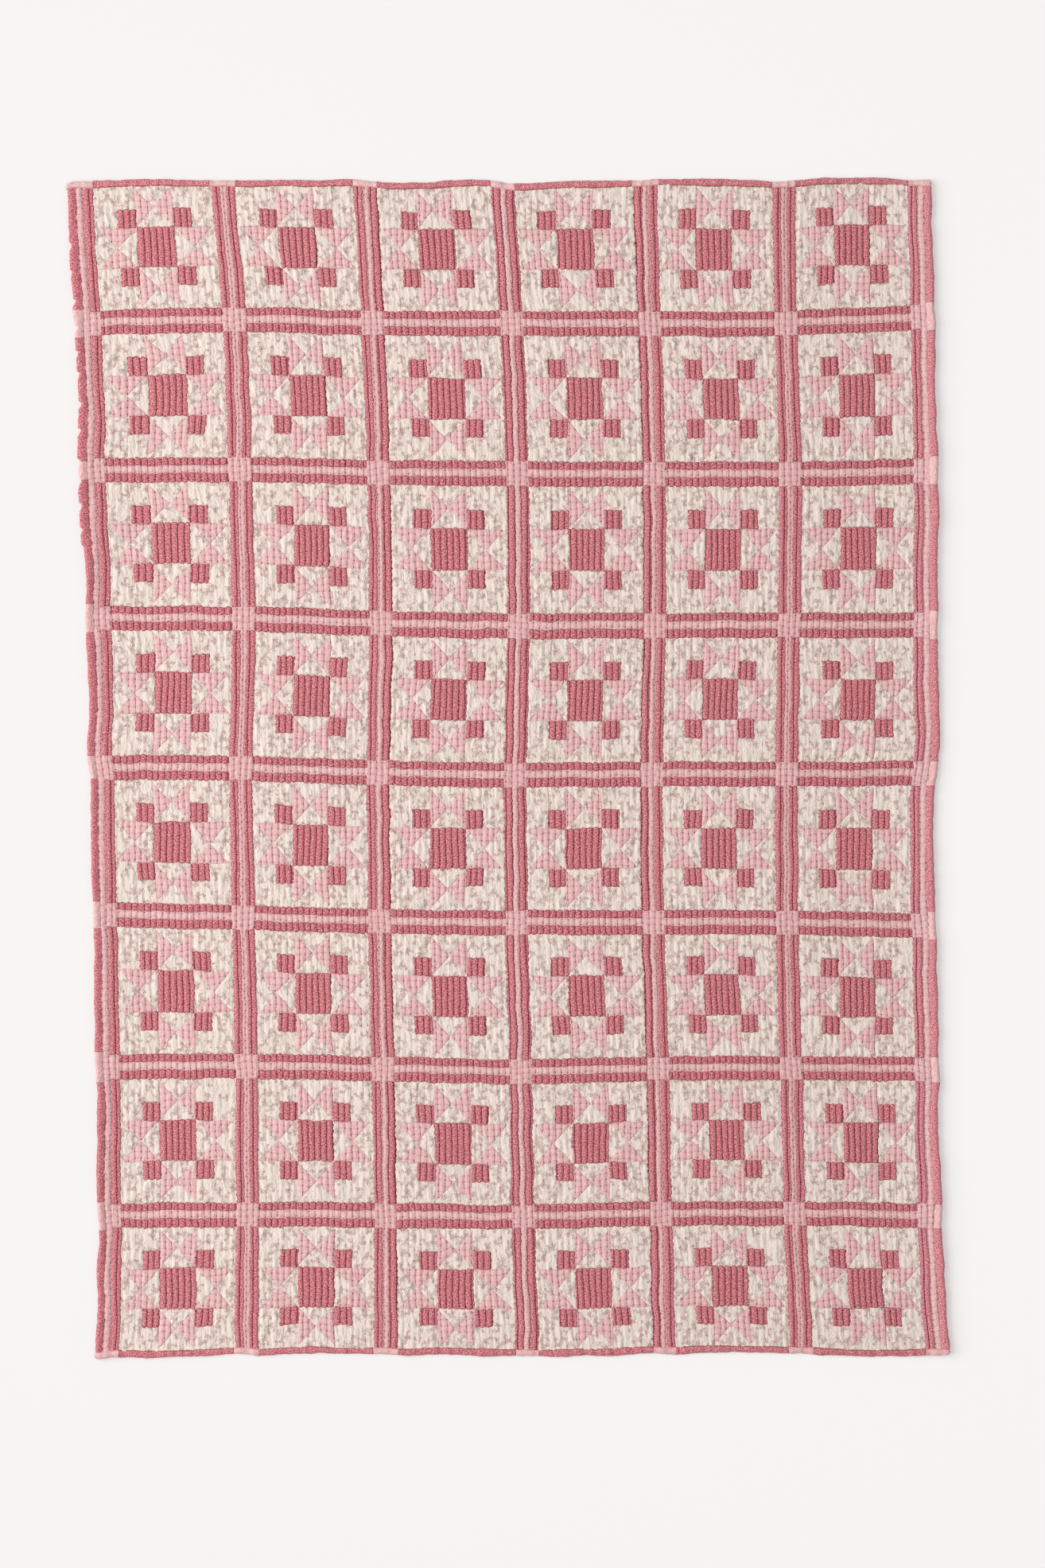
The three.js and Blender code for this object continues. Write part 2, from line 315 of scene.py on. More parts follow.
def bow(table, knots, length, along, inward):
    values = [0.0, *(value for block in table for value in block), 0.0]
    fade = 1 - eased(np.clip(inward / BOW_REACH, 0, 1))
    return smooth_through([0.0, *knots, length], values, along) * fade


def pull(table, across, down):
    """The pull on the middle of each block, which fades out at the block's own sides."""
    column = np.clip((across - SIDE_BORDER) // BLOCK_PITCH, 0, BLOCKS_ACROSS - 1).astype(int)
    row = np.clip((down - END_BINDING) // ROW_PITCH, 0, BLOCKS_DOWN - 1).astype(int)
    a = np.clip((across - SIDE_BORDER - column * BLOCK_PITCH) / BLOCK_WIDTH, 0, 1)
    b = np.clip((down - END_BINDING - row * ROW_PITCH) / BLOCK_HEIGHT, 0, 1)
    return np.array(table)[row, column] * MIDDLING * a * (1 - a) * b * (1 - b)


def lift(across, down):
    total = 0.0
    for table, inward in ((LIFT_LEFT, across), (LIFT_RIGHT, FLAT_WIDTH - across)):
        near = np.clip(1 - inward / LIFT_REACH, 0, None)
        total = total + smooth_through(DRIFT_ROWS, table, down) * near**LIFT_CURVE
    return total


def lay(across, down, height):
    """Where points of the flat throw lie, at a height above its underside, in metres."""
    across, down = np.asarray(across, float), np.asarray(down, float)
    x = MIDDLE_X + across - FLAT_WIDTH / 2 + drift(DRIFT_RIGHTWARD, across, down)
    x += bow(BOW_RIGHT, BOW_KNOTS_DOWN, FLAT_HEIGHT, down, FLAT_WIDTH - across)
    x -= bow(BOW_LEFT, BOW_KNOTS_DOWN, FLAT_HEIGHT, down, across)
    x += pull(PULL_RIGHTWARD, across, down) + uneven(CREEP_RIGHTWARD, across, down)
    x += uneven(SHIFT_RIGHTWARD, across, down)
    y = MIDDLE_Y + FLAT_HEIGHT / 2 - down + drift(DRIFT_UPWARD, across, down)
    y += bow(BOW_TOP, BOW_KNOTS_ACROSS, FLAT_WIDTH, across, down)
    y -= bow(BOW_BOTTOM, BOW_KNOTS_ACROSS, FLAT_WIDTH, across, FLAT_HEIGHT - down)
    y += pull(PULL_UPWARD, across, down) + uneven(CREEP_UPWARD, across, down)
    y += uneven(SHIFT_UPWARD, across, down)
    z = lift(across, down) + height
    return np.stack([x, y, z], axis=-1) * MM


# ---- Piecing ------------------------------------------------------------------------------------

HOURGLASSES = ((1, 0), (0, 1), (2, 1), (1, 2))  # the columns and rows of a block's four such units
UNITS = 3  # each way, in a block
PARTS = 4  # in a unit, at most


def zone(at, first, count, block, pitch):
    """Which zone along one direction each point lies in, even in a sash or border and odd in a
    block, and how far it is into that zone."""
    place = at - first
    n = np.clip(np.floor(place / pitch), 0, count - 1).astype(int)
    into = place - n * pitch
    in_sash = into >= block
    number = 2 * n + 1 + in_sash
    into = np.where(in_sash, into - block, into)
    before = place < 0
    return np.where(before, 0, number), np.where(before, at, into)


def column_zone(across):
    return zone(across, SIDE_BORDER, BLOCKS_ACROSS, BLOCK_WIDTH, BLOCK_PITCH)


def row_zone(down):
    return zone(down, END_BINDING, BLOCKS_DOWN, BLOCK_HEIGHT, ROW_PITCH)


def strip_fabric(into, turns):
    return np.where((into >= turns[0]) & (into < turns[1]), PINK, ROSE)


def shortened(low, high, number):
    """One unit's two sides, drawn in: by more at the side that is the block's own."""
    low += OUTER_SHORTFALL if number == 0 else INNER_SHORTFALL
    high -= OUTER_SHORTFALL if number == 2 else INNER_SHORTFALL
    return low, high


def hourglass_box(column, row):
    """The corners that the diagonal seams of one of a block's hourglass units run between."""
    left, right = (0.0, *UNIT_SEAMS_ACROSS, BLOCK_WIDTH)[column : column + 2]
    top, bottom = (0.0, *UNIT_SEAMS_DOWN, BLOCK_HEIGHT)[row : row + 2]
    if row == 1:
        left, right = shortened(left, right, column)
    else:
        top, bottom = shortened(top, bottom, row)
    return left, right, top, bottom


def block_fabric(x, y):
    """The fabric inside a block, and the number of the patch within it."""
    column = np.searchsorted(UNIT_SEAMS_ACROSS, x)
    row = np.searchsorted(UNIT_SEAMS_DOWN, y)
    middle = (column == 1) & (row == 1)
    corner = (column != 1) & (row != 1)
    inner_across = (x > CORNER_PATCHES_ACROSS[0]) & (x < CORNER_PATCHES_ACROSS[1])
    inner_down = (y > CORNER_PATCHES_DOWN[0]) & (y < CORNER_PATCHES_DOWN[1])
    fabric = np.where(middle | (corner & inner_across & inner_down), ROSE, CREAM)
    part = np.where(corner & inner_across, 1 + inner_down, 0)
    for unit_column, unit_row in HOURGLASSES:
        left, right, top, bottom = hourglass_box(unit_column, unit_row)
        a = np.clip((x - left) / (right - left), 0, 1)
        b = np.clip((y - top) / (bottom - top), 0, 1)
        beside = (a < b) == (a < 1 - b)  # the quarters to the left and right
        here = (column == unit_column) & (row == unit_row)
        fabric = np.where(here, np.where(beside == (unit_column == 1), PINK, CREAM), fabric)
        part = np.where(here, 2 * (a < b) + (a < 1 - b), part)
    return fabric, (row * UNITS + column) * PARTS + part


def piecing(across, down):
    """The fabric at each point of the top, and the number of its patch."""
    column, x = column_zone(across)
    row, y = row_zone(down)
    last_column = 2 * BLOCKS_ACROSS
    at_border = (column == 0) | (column == last_column)
    in_column = column % 2 == 1
    in_row = (row % 2 == 1) | (row == 0) | (row == 2 * BLOCKS_DOWN)
    row = np.clip(row, 1, 2 * BLOCKS_DOWN - 1)
    from_side = np.minimum(across, FLAT_WIDTH - across)
    border = np.where(from_side < BORDER_STRIP, PINK, ROSE)
    upright = np.where(at_border, border, strip_fabric(x, UPRIGHT_STRIPS))
    upright_part = np.where(at_border, from_side > BORDER_STRIP, np.searchsorted(UPRIGHT_STRIPS, x))
    level, level_part = strip_fabric(y, LEVEL_STRIPS), np.searchsorted(LEVEL_STRIPS, y)
    fabric, part = block_fabric(x, np.clip(y, 0, BLOCK_HEIGHT - HAIR))
    for here, its_fabric, its_part in (
        (in_column & ~in_row, level, level_part),
        (~in_column & in_row, upright, upright_part),
        (~in_column & ~in_row, PINK, 0),
    ):
        fabric, part = np.where(here, its_fabric, fabric), np.where(here, its_part, part)
    return fabric, (row * (last_column + 1) + column) * UNITS * UNITS * PARTS + part


# ---- The top's points ---------------------------------------------------------------------------


def upright_seams():
    seams = [BORDER_STRIP, FLAT_WIDTH - BORDER_STRIP]
    for left in BLOCK_LEFTS:
        seams += [left + at for at in (0, *UNIT_SEAMS_ACROSS, *CORNER_PATCHES_ACROSS, BLOCK_WIDTH)]
    for left in BLOCK_LEFTS[:-1]:
        seams += [left + BLOCK_WIDTH + strip for strip in UPRIGHT_STRIPS]
    return sorted(seams)


def top_columns():
    """Where the top's columns of points stand, and which of them are on a seam. Every line of
    quilting has one, and so has every seam."""
    places = [LINES[0] - TUCKED_UNDER]
    for left, right in zip(LINES[:-1], LINES[1:]):
        places += [left + (right - left) * n / COLUMNS_PER_CHANNEL for n in range(COLUMNS_PER_CHANNEL)]
    places += [LINES[-1], LINES[-1] + TUCKED_UNDER]
    on_line = set(LINES)
    seams = set()
    for seam in upright_seams():
        nearest = min(places, key=lambda place: abs(place - seam))
        claim = LINE_CLAIM if nearest in on_line else COLUMN_CLAIM
        if abs(nearest - seam) < claim and nearest not in seams:
            places.remove(nearest)
        places.append(seam)
        seams.add(seam)
    places = sorted(places)
    return np.array(places), np.array([place in seams for place in places])


def level_seams(top):
    """The level seams of the row of blocks that starts there, and of the sash below it."""
    inside = sorted((0, *UNIT_SEAMS_DOWN, *CORNER_PATCHES_DOWN, BLOCK_HEIGHT))
    below = [BLOCK_HEIGHT + strip for strip in LEVEL_STRIPS] if top < BLOCK_TOPS[-1] else []
    return [top + at for at in (*inside, *below)]


def top_rows():
    """Where its rows of points lie: a few to a stitch, drawn on to the level seams."""
    seams = [seam for top in BLOCK_TOPS for seam in level_seams(top)]
    spacing = ROW_PITCH / (STITCHES_PER_BLOCK + STITCHES_PER_SASH) / ROWS_PER_STITCH
    rows = [END_BINDING - TUCKED_UNDER]
    for start, end in zip(seams[:-1], seams[1:]):
        count = round((end - start) / spacing)
        rows += [start + (end - start) * n / count for n in range(count)]
    rows += [seams[-1], FLAT_HEIGHT - END_BINDING + TUCKED_UNDER]
    return np.array(rows)


def follow_diagonal(across, down, rows, falling, box, is_falling):
    """Moves points onto one diagonal of a box, and turns the cells' cuts to follow it."""
    left, right, top, bottom = box
    columns = np.nonzero((across[0] >= left - HAIR) & (across[0] <= right + HAIR))[0]
    share = (across[0, columns] - left) / (right - left)
    wanted = top + (bottom - top) * (share if is_falling else 1 - share)
    nearest = np.abs(rows[:, None] - wanted[None, :]).argmin(axis=0)
    upper = wanted < (top + bottom) / 2
    middle_row = int(np.abs(rows - (top + bottom) / 2).argmin())
    nearest = np.where(upper, np.minimum(nearest, middle_row), np.maximum(nearest, middle_row))
    down[nearest, columns] = wanted
    steps = np.nonzero(np.diff(nearest))[0]
    falling[np.minimum(nearest[steps], nearest[steps + 1]), columns[steps]] = is_falling


def chequered(rows, columns):
    """Which cells of a grid of points are cut the falling way, where nothing else settles it."""
    return np.indices((len(rows) - 1, len(columns) - 1)).sum(axis=0) % 2 == 0


def top_grid():
    """The flat place of every point of the top, which of its columns are on a seam, and which way
    each cell is cut in two."""
    columns, on_seam = top_columns()
    rows = top_rows()
    across, down = np.meshgrid(columns, rows)
    falling = chequered(rows, columns)
    for left in BLOCK_LEFTS:
        for top in BLOCK_TOPS:
            for unit in HOURGLASSES:
                box = np.array(hourglass_box(*unit)) + (left, left, top, top)
                for is_falling in (True, False):
                    follow_diagonal(across, down, rows, falling, box, is_falling)
    return across, down, on_seam, falling


def grid_triangles(falling):
    rows, columns = falling.shape
    a = (np.arange(rows)[:, None] * (columns + 1) + np.arange(columns)[None, :]).ravel()
    b, d = a + 1, a + columns + 1
    e = d + 1
    cut = falling.ravel()[:, None]
    first = np.where(cut, np.stack([a, d, e], 1), np.stack([a, d, b], 1))
    second = np.where(cut, np.stack([a, e, b], 1), np.stack([b, d, e], 1))
    return np.concatenate([first, second])


# ---- Quilted relief -----------------------------------------------------------------------------


def line_number(across):
    """How many lines of quilting lie to the left, with the share of the way to the next."""
    return np.interp(across, LINES, np.arange(len(LINES)))


def stitch_number(across, down):
    """The same down the throw: whole numbers are the middles of stitches."""
    knots, counts, count = [0.0], [-1.0], 0
    for top in BLOCK_TOPS:
        knots += [top, top + BLOCK_HEIGHT]
        counts += [count, count + STITCHES_PER_BLOCK]
        count += STITCHES_PER_BLOCK + STITCHES_PER_SASH
    knots.append(FLAT_HEIGHT)
    counts.append(counts[-1] + 1)
    return np.interp(down, knots, counts) - STITCH_PLACE + uneven(STITCH_WANDER, across, down)


def off_line(across):
    """0 on a line of quilting, and 1 midway between two."""
    return np.abs(np.sin(np.pi * line_number(across)))


def at_stitch(across, down):
    """1 level with the middle of a stitch, and 0 midway between two."""
    return 0.5 + 0.5 * np.cos(2 * np.pi * stitch_number(across, down))


def waviness(across, down):
    """The slow rise and fall of the whole cloth, and each block's crown."""
    x = np.clip(column_zone(across)[1] / BLOCK_WIDTH, 0, 1)
    y = np.clip(row_zone(down)[1] / BLOCK_HEIGHT, 0, 1)
    crown = np.sin(np.pi * x) * np.sin(np.pi * y)
    climb = np.clip((LINES[1] - np.minimum(across, FLAT_WIDTH - across)) / (LINES[1] - LINES[0]), 0, 1)
    slow = uneven(BROAD_WAVES, across, down) + uneven(SMALL_WAVES, across, down)
    return BLOCK_CROWN * crown + SIDE_CLIMB * climb + slow


def quilted(across, down, shares):
    """The height of the top. `shares` is how much of each fabric meets at each point."""
    sizes = (CROWN, BRIDGE, CREASE, PUCKER, FLATNESS)
    crown, bridge, crease, pucker, flatness = (shares @ np.array(each) for each in sizes)
    pinch = at_stitch(across, down) ** PINCH_SHARPNESS
    fullness = 1 + uneven(FULLNESS, across, down)
    ridge = crown * fullness - crease * pinch + pucker * uneven(PUCKERS, across, down)
    groove = bridge * (1 - pinch)
    return groove + (ridge - groove) * off_line(across) ** flatness


def nearest_along(place, on_seam, axis):
    """How far each point of a grid is from the nearest seam point in its own row or column."""
    before = np.maximum.accumulate(np.where(on_seam, place, -np.inf), axis=axis)
    flipped = np.flip(np.where(on_seam, place, np.inf), axis=axis)
    after = np.flip(np.minimum.accumulate(flipped, axis=axis), axis=axis)
    return np.minimum(place - before, after - place)


def towards_rose(fabric, shape):
    """At each point of the grid, how much more rose there is before it than past it, each way."""
    rose = (fabric.reshape(2, -1) == ROSE).mean(axis=0).reshape(shape[0] - 1, shape[1] - 1)
    rose = np.pad(rose, 1, mode="edge")
    before = (rose[:-1, :-1] + rose[1:, :-1]) / 2, (rose[:-1, :-1] + rose[:-1, 1:]) / 2
    past = (rose[:-1, 1:] + rose[1:, 1:]) / 2, (rose[1:, :-1] + rose[1:, 1:]) / 2
    return (before[0] - past[0]).ravel(), (before[1] - past[1]).ravel()


def in_order(moved, flat, axis, shape):
    """The moved places, with none pushed past its neighbour in the row or column."""
    slack = (moved - LEAST_GAP * flat).reshape(shape)
    forwards = np.maximum.accumulate(slack, axis=axis)
    backwards = np.flip(np.minimum.accumulate(np.flip(slack, axis=axis), axis=axis), axis=axis)
    return ((forwards + backwards) / 2).ravel() + LEAST_GAP * flat


# ---- Meshes -------------------------------------------------------------------------------------

BOLT = 0.9  # how long and wide the cloth is that the patches are cut from, in metres
# How much of a patch's depth of dye is its own. The rest is painted shade that deepens down to the right, as
# the window's light falls off away from the top left corner.
LOT_BY_PATCH = 0.45

# How much darker than the blocks' own cloth the other strips are. Below 0 they are paler. The pink sash
# strips are darkened as painted shade. The left rose strip of each upright sash and the right border are
# lightened as painted light.
PINK_SASH_PAINTED_SHADE = 0.9
LEVEL_ROSE_DEEPENING = 1.0
LEFT_ROSE_STRIP_PAINTED_LIGHT = -0.3
RIGHT_BORDER_PAINTED_LIGHT = -0.9


def mesh_piece(name, cloth, materials, points, triangles, maps, values, chosen=slice(None)):
    """A smooth piece of one cloth, made of the chosen triangles, riding on the throw. Each map has a
    place for every corner of every triangle, and each value one number for every point."""
    triangles = triangles[chosen]
    used, corners = np.unique(triangles.ravel(), return_inverse=True)
    mesh = bpy.data.meshes.new(name)
    mesh.vertices.add(len(used))
    mesh.vertices.foreach_set("co", points[used].astype(np.float32).ravel())
    mesh.loops.add(len(corners))
    mesh.loops.foreach_set("vertex_index", corners.astype(np.int32))
    mesh.polygons.add(len(triangles))
    mesh.polygons.foreach_set("loop_start", np.arange(0, len(corners), 3, dtype=np.int32))
    mesh.update(calc_edges=True)
    for map_name, places in maps.items():
        layer = mesh.uv_layers.new(name=map_name)
        layer.uv.foreach_set("vector", places[chosen].astype(np.float32).ravel())
    for value_name, point_values in values.items():
        attribute = mesh.attributes.new(value_name, "FLOAT", "POINT")
        attribute.data.foreach_set("value", point_values[used].astype(np.float32))
    mesh.polygons.foreach_set("use_smooth", np.ones(len(triangles), bool))
    mesh.materials.append(materials[cloth])
    piece = bpy.data.objects.new(name, mesh)
    bpy.context.scene.collection.objects.link(piece)
    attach(piece, "root")
    return piece


def cuts(count, seed):
    """Where on its bolt of cloth each of so many patches was cut, in metres."""
    return np.random.default_rng(seed).uniform(0, BOLT, (count, 2))


def sash_tone_and_painted_light(fabric, across, down):
    """How much darker each point's cloth is than the blocks' own, and below 0 how much paler. The level rose
    strips are darker. The pink of the upright sashes, their cornerstones and the left border is darker as
    painted shade. The left rose strip of each upright sash and the right border are paler as painted light."""
    column, x = column_zone(across)
    upright, level = column % 2 == 0, row_zone(down)[0] % 2 == 0
    last = column == 2 * BLOCKS_ACROSS
    left_strip = upright & (column > 0) & (x < UPRIGHT_STRIPS[0])
    pink = np.where(upright & ~last, PINK_SASH_PAINTED_SHADE, 0)
    rose = np.select(
        [last, level & ~upright, left_strip],
        [RIGHT_BORDER_PAINTED_LIGHT, LEVEL_ROSE_DEEPENING, LEFT_ROSE_STRIP_PAINTED_LIGHT],
    )
    return np.where(fabric == PINK, pink, np.where(fabric == ROSE, rose, 0))


def fabric_shares(triangles, fabric, count):
    """How much of each fabric meets at each of so many points."""
    corners = triangles.ravel()
    meeting = [np.bincount(corners, np.repeat(fabric == n, 3), count) for n in range(len(FABRICS))]
    shares = np.stack(meeting, axis=1)
    return shares / shares.sum(axis=1, keepdims=True)


def seam_distance(across, down, joined):
    """How far each point of the grid is from the nearest seam in its own row or column."""
    sideways, endways = nearest_along(across, joined, 1), nearest_along(down, joined, 0)
    return np.minimum(np.minimum(sideways, endways), FAR_OFF).ravel()


def seam_nudges(across, down, fabric, from_seam, shape):
    """How far cloth near its seams lies out of line, each way. The rose cloth swells out over its
    seams between the stitches, and is drawn back at them."""
    push_across, push_down = towards_rose(fabric, shape)
    off_stitch = 0.5 - 0.5 * np.cos(2 * np.pi * stitch_number(across, down))
    swell = SEAM_SWELL * (1 + uneven(SWELLS, across, down))
    swell_across = off_stitch - HELD_BY_STITCHES
    swell_down = off_line(across) ** SWELL_FLATNESS - HELD_BY_LINES
    near_seam = SEAM_WANDER * np.exp(-((from_seam / WANDER_REACH) ** 2))
    nudge_across = swell * push_across * swell_across + near_seam * uneven(WANDER_ACROSS, across, down)
    nudge_down = swell * push_down * swell_down + near_seam * uneven(WANDER_DOWN, across, down)
    return nudge_across, nudge_down


def top_maps(across, down, wander, triangles, fabric, patch):
    """For each corner of each triangle, its place on its bolt of cloth, its place in the quilting, and its
    lot. The lot is how deep the patch is dyed, with painted shade that deepens down to the right, and how
    much darker or paler its strip is, partly as painted light and shade."""
    middle_across, middle_down = across[triangles].mean(axis=1), down[triangles].mean(axis=1)
    cut = cuts(patch.max() + 1, 51)
    painted_falloff_shade = (middle_across / FLAT_WIDTH + middle_down / FLAT_HEIGHT) / 2
    # Each patch's own depth of dye, with painted shade that deepens down to the right.
    depth = LOT_BY_PATCH * cut[patch, 0] / BOLT + (1 - LOT_BY_PATCH) * painted_falloff_shade
    lot = np.stack([depth, sash_tone_and_painted_light(fabric, middle_across, middle_down)], axis=1)
    cloth = np.stack([across + wander, -down], axis=1) * MM
    quilting = np.stack([line_number(across), stitch_number(across, down)], axis=1)
    return {
        "Cloth": cloth[triangles] + cut[patch][:, None],
        "Quilting": quilting[triangles],
        "Lot": np.repeat(lot[:, None], 3, axis=1),
    }


def make_top(materials):
    """The pieced top, as one piece for each fabric in each two rows of blocks."""
    across, down, on_seam, falling = top_grid()
    shape = across.shape
    wander = (uneven(LINE_WANDER, across, down) * ~on_seam).ravel()
    triangles = grid_triangles(falling)
    across, down = across.ravel(), down.ravel()
    middle_across, middle_down = across[triangles].mean(axis=1), down[triangles].mean(axis=1)
    fabric, patch = piecing(middle_across, middle_down)

    shares = fabric_shares(triangles, fabric, len(across))
    joined = (shares.max(axis=1) < ONE_FABRIC).reshape(shape)
    from_seam = seam_distance(across.reshape(shape), down.reshape(shape), joined)
    nudge_across, nudge_down = seam_nudges(across, down, fabric, from_seam, shape)
    sunk = 1 - SEAM_SINK * np.exp(-((from_seam / SEAM_REACH) ** 2))
    height = GROOVE_HEIGHT + waviness(across, down) + quilted(across, down, shares) * sunk
    moved_across = in_order(across + wander + nudge_across, across, 1, shape)
    moved_down = in_order(down + nudge_down, down, 0, shape)
    points = lay(moved_across, moved_down, height)

    maps = top_maps(across, down, wander, triangles, fabric, patch)
    values = {"from_seam": from_seam}
    band = np.clip((row_zone(middle_down)[0] - 1) // 4, 0, BLOCKS_DOWN // 2 - 1)
    pieces = []
    for n in range(BLOCKS_DOWN // 2):
        for number, name in enumerate(FABRICS):
            chosen = (band == n) & (fabric == number)
            piece_name = f"{name}_patches_{n + 1}"
            pieces.append(mesh_piece(piece_name, name, materials, points, triangles, maps, values, chosen))
    return pieces


# ---- Quilting stitches --------------------------------------------------------------------------

STITCH_HALF_LENGTH = 1.6
STITCH_HALF_WIDTH = 0.34
STITCH_RISE = 0.38
STITCH_VARIETY = 0.25  # how much longer or shorter some stitches are
STITCH_SLANT = 0.18  # how far sideways most lean, for their length
STITCH_CLEARANCE = 1.5  # how far the stitching stops short of the end bindings
MARK_SPACING = 0.25  # how finely each line is searched for the middles of its stitches

# A stitch's corners: sideways in half widths, along in half lengths, and up in rises.
STITCH_CORNERS = (
    (0.0, -1.0, -0.25),
    (-1.0, 0.0, 0.0),
    (0.0, 0.0, 1.0),
    (1.0, 0.0, 0.0),
    (0.0, 1.0, -0.25),
)
STITCH_FACES = ((0, 1, 2), (0, 2, 3), (0, 3, 1), (4, 2, 1), (4, 3, 2), (4, 1, 3))


def stitch_places():
    """The flat place of the middle of every stitch on the face."""
    first = END_BINDING + STITCH_CLEARANCE
    last = FLAT_HEIGHT - END_BINDING - STITCH_CLEARANCE
    marks = np.arange(first, last, MARK_SPACING)
    across, down = [], []
    for line in LINES[1:-1]:
        numbers = stitch_number(np.full(len(marks), line), marks)
        whole = np.arange(math.ceil(numbers[0]), math.floor(numbers[-1]) + 1)
        across.append(np.full(len(whole), line))
        down.append(np.interp(whole, numbers, marks))
    return np.concatenate(across), np.concatenate(down)


def make_stitches(materials):
    """Each stitch is a short, three-sided bead of thread that dips into the cloth at both ends."""
    across, down = stitch_places()
    count = len(across)
    rng = np.random.default_rng(61)
    length = STITCH_HALF_LENGTH * rng.uniform(1 - STITCH_VARIETY, 1 + STITCH_VARIETY, count)
    slant = rng.normal(0, STITCH_SLANT, count)
    ground = GROOVE_HEIGHT + waviness(across, down)
    wander = uneven(LINE_WANDER, across, down)
    rings = []
    for sideways, along, up in STITCH_CORNERS:
        x = across + wander + sideways * STITCH_HALF_WIDTH + slant * along * length
        rings.append(lay(x, down + along * length, ground + up * STITCH_RISE))
    points = np.stack(rings, axis=1).reshape(-1, 3)
    corners = len(STITCH_CORNERS)
    first_corners = corners * np.arange(count)[:, None, None]
    triangles = (np.array(STITCH_FACES)[None] + first_corners).reshape(-1, 3)
    values = {"on_cream": np.repeat(piecing(across, down)[0] == CREAM, corners)}
    return [mesh_piece("quilting_stitches", "thread", materials, points, triangles, {}, values)]


# ---- Bindings -----------------------------------------------------------------------------------

# Across a rolled side binding and a flatter end one: how far in from the edge, and how high.
SIDE_ROLL = (
    (13.9, 1.2),
    (13.6, 3.2),
    (11.8, 4.2),
    (9.4, 5.2),
    (6.8, 5.9),
    (4.6, 6.2),
    (2.6, 5.6),
    (1.0, 4.1),
    (0.2, 2.3),
    (0.6, 0.8),
    (1.8, 0.2),
    (13.6, 0.2),
)
END_ROLL = (
    (11.0, 2.4),
    (10.4, 4.6),
    (8.6, 5.7),
    (6.4, 6.1),
    (4.2, 6.0),
    (2.4, 5.3),
    (1.0, 4.1),
    (0.2, 2.6),
    (0.4, 1.2),
    (1.6, 0.3),
    (6.0, 0.1),
    (10.8, 0.2),
)
PINK_ON_LEFT = (43, 29, 44, 35, 41, 46, 43)  # the pink lengths beside each level sash
PINK_ON_RIGHT = (43, 41, 44, 37, 43, 40, 38)
PINK_ON_TOP = (38, 36, 36, 40, 35)  # and beside each upright one
PINK_ON_BOTTOM = (38, 37, 35, 35, 38)

STATION = 2.1  # how far apart the points along a binding are
ROLL_MIDDLE = 2.6  # how high the middle of a roll is, where its ends close in
CLOSING = 4.5  # over what length they close
CLOSED = 0.001  # how much of the section is left at the very end
LUMP = 6.5  # how far apart the rolls are lumpy, and how much of their height that is
LUMPINESS = 0.13
LUMP_LIMIT = 1.8  # the highest and lowest, in that measure
LUMPS_PAST_END = 20
GATHER = 0.26  # how unevenly the cloth of a roll is gathered, above its underside
UNDERSIDE = 0.3
EDGE_WAVE = 0.9  # how far a binding's two edges wander
EDGE_WAVE_GRAIN = 26
INNER_WAVE_GRAIN = 34
EDGE_NIPS = 0.35  # and how far the outer one is nipped in between
EDGE_NIP_GRAIN = 5.5
ACROSS_ROLL = 400  # the grain across, which never shows: a roll is uneven only along its length

LEFT_TUCKS = (95, 136, 181, 221, 260, 293, 339, 382, 428, 458, 497, 533, 560)  # folds in the left roll
TUCK_SWELL = 3.6
TUCK_DROP = 2.2
TUCK_FLAT = 3.0  # how far past one tuck the roll starts to swell again, and over what length
TUCK_RISE = 11.0
PAST_TUCKS = -0.8  # where the roll lies below the tucks
BOTTOM_SWELL = 0.6  # how far the bottom binding stands out all along

EAR_DROOP = 6.0  # how far the top binding hangs down at the top left corner
EAR_LENGTH = 7.5
EAR_CURVE = 1.2
SIDES_ABOVE = 1.0  # how far the side bindings run past the top and bottom of the end borders
SIDES_BELOW = 4.0
BOTTOM_OVERHANG = 0.5


def turns_along(middles, lengths, borders=()):
    """Where a binding changes between rose and pink: at its pink lengths, and at the borders if the
    binding is pink beside those."""
    turns = [*borders]
    for middle, length in zip(middles, lengths):
        turns += [middle - length / 2, middle + length / 2]
    return sorted(turns)


def stations_between(start, end, turns):
    """Even stations along a binding, with one at each change of fabric."""
    knots = [start, *turns, end]
    places = [start]
    for a, b in zip(knots[:-1], knots[1:]):
        count = max(1, round((b - a) / STATION))
        places += [a + (b - a) * (n + 1) / count for n in range(count)]
    return np.array(places)


def unswollen(along):
    return np.zeros(len(along))


def swollen(along):
    return np.full(len(along), BOTTOM_SWELL)


def tucked(along):
    """How far the left roll swells out before each of its tucks, and how it drops back past it."""
    down = FLAT_HEIGHT - along
    depth = np.where(down > LEFT_TUCKS[-2], PAST_TUCKS, 0.0)
    for before, after in zip(LEFT_TUCKS[:-1], LEFT_TUCKS[1:]):
        share = np.clip((down - before - TUCK_FLAT) / TUCK_RISE, 0, 1)
        rise = TUCK_SWELL * eased(share) - TUCK_DROP
        depth = np.where((down > before) & (down <= after), rise, depth)
    return depth


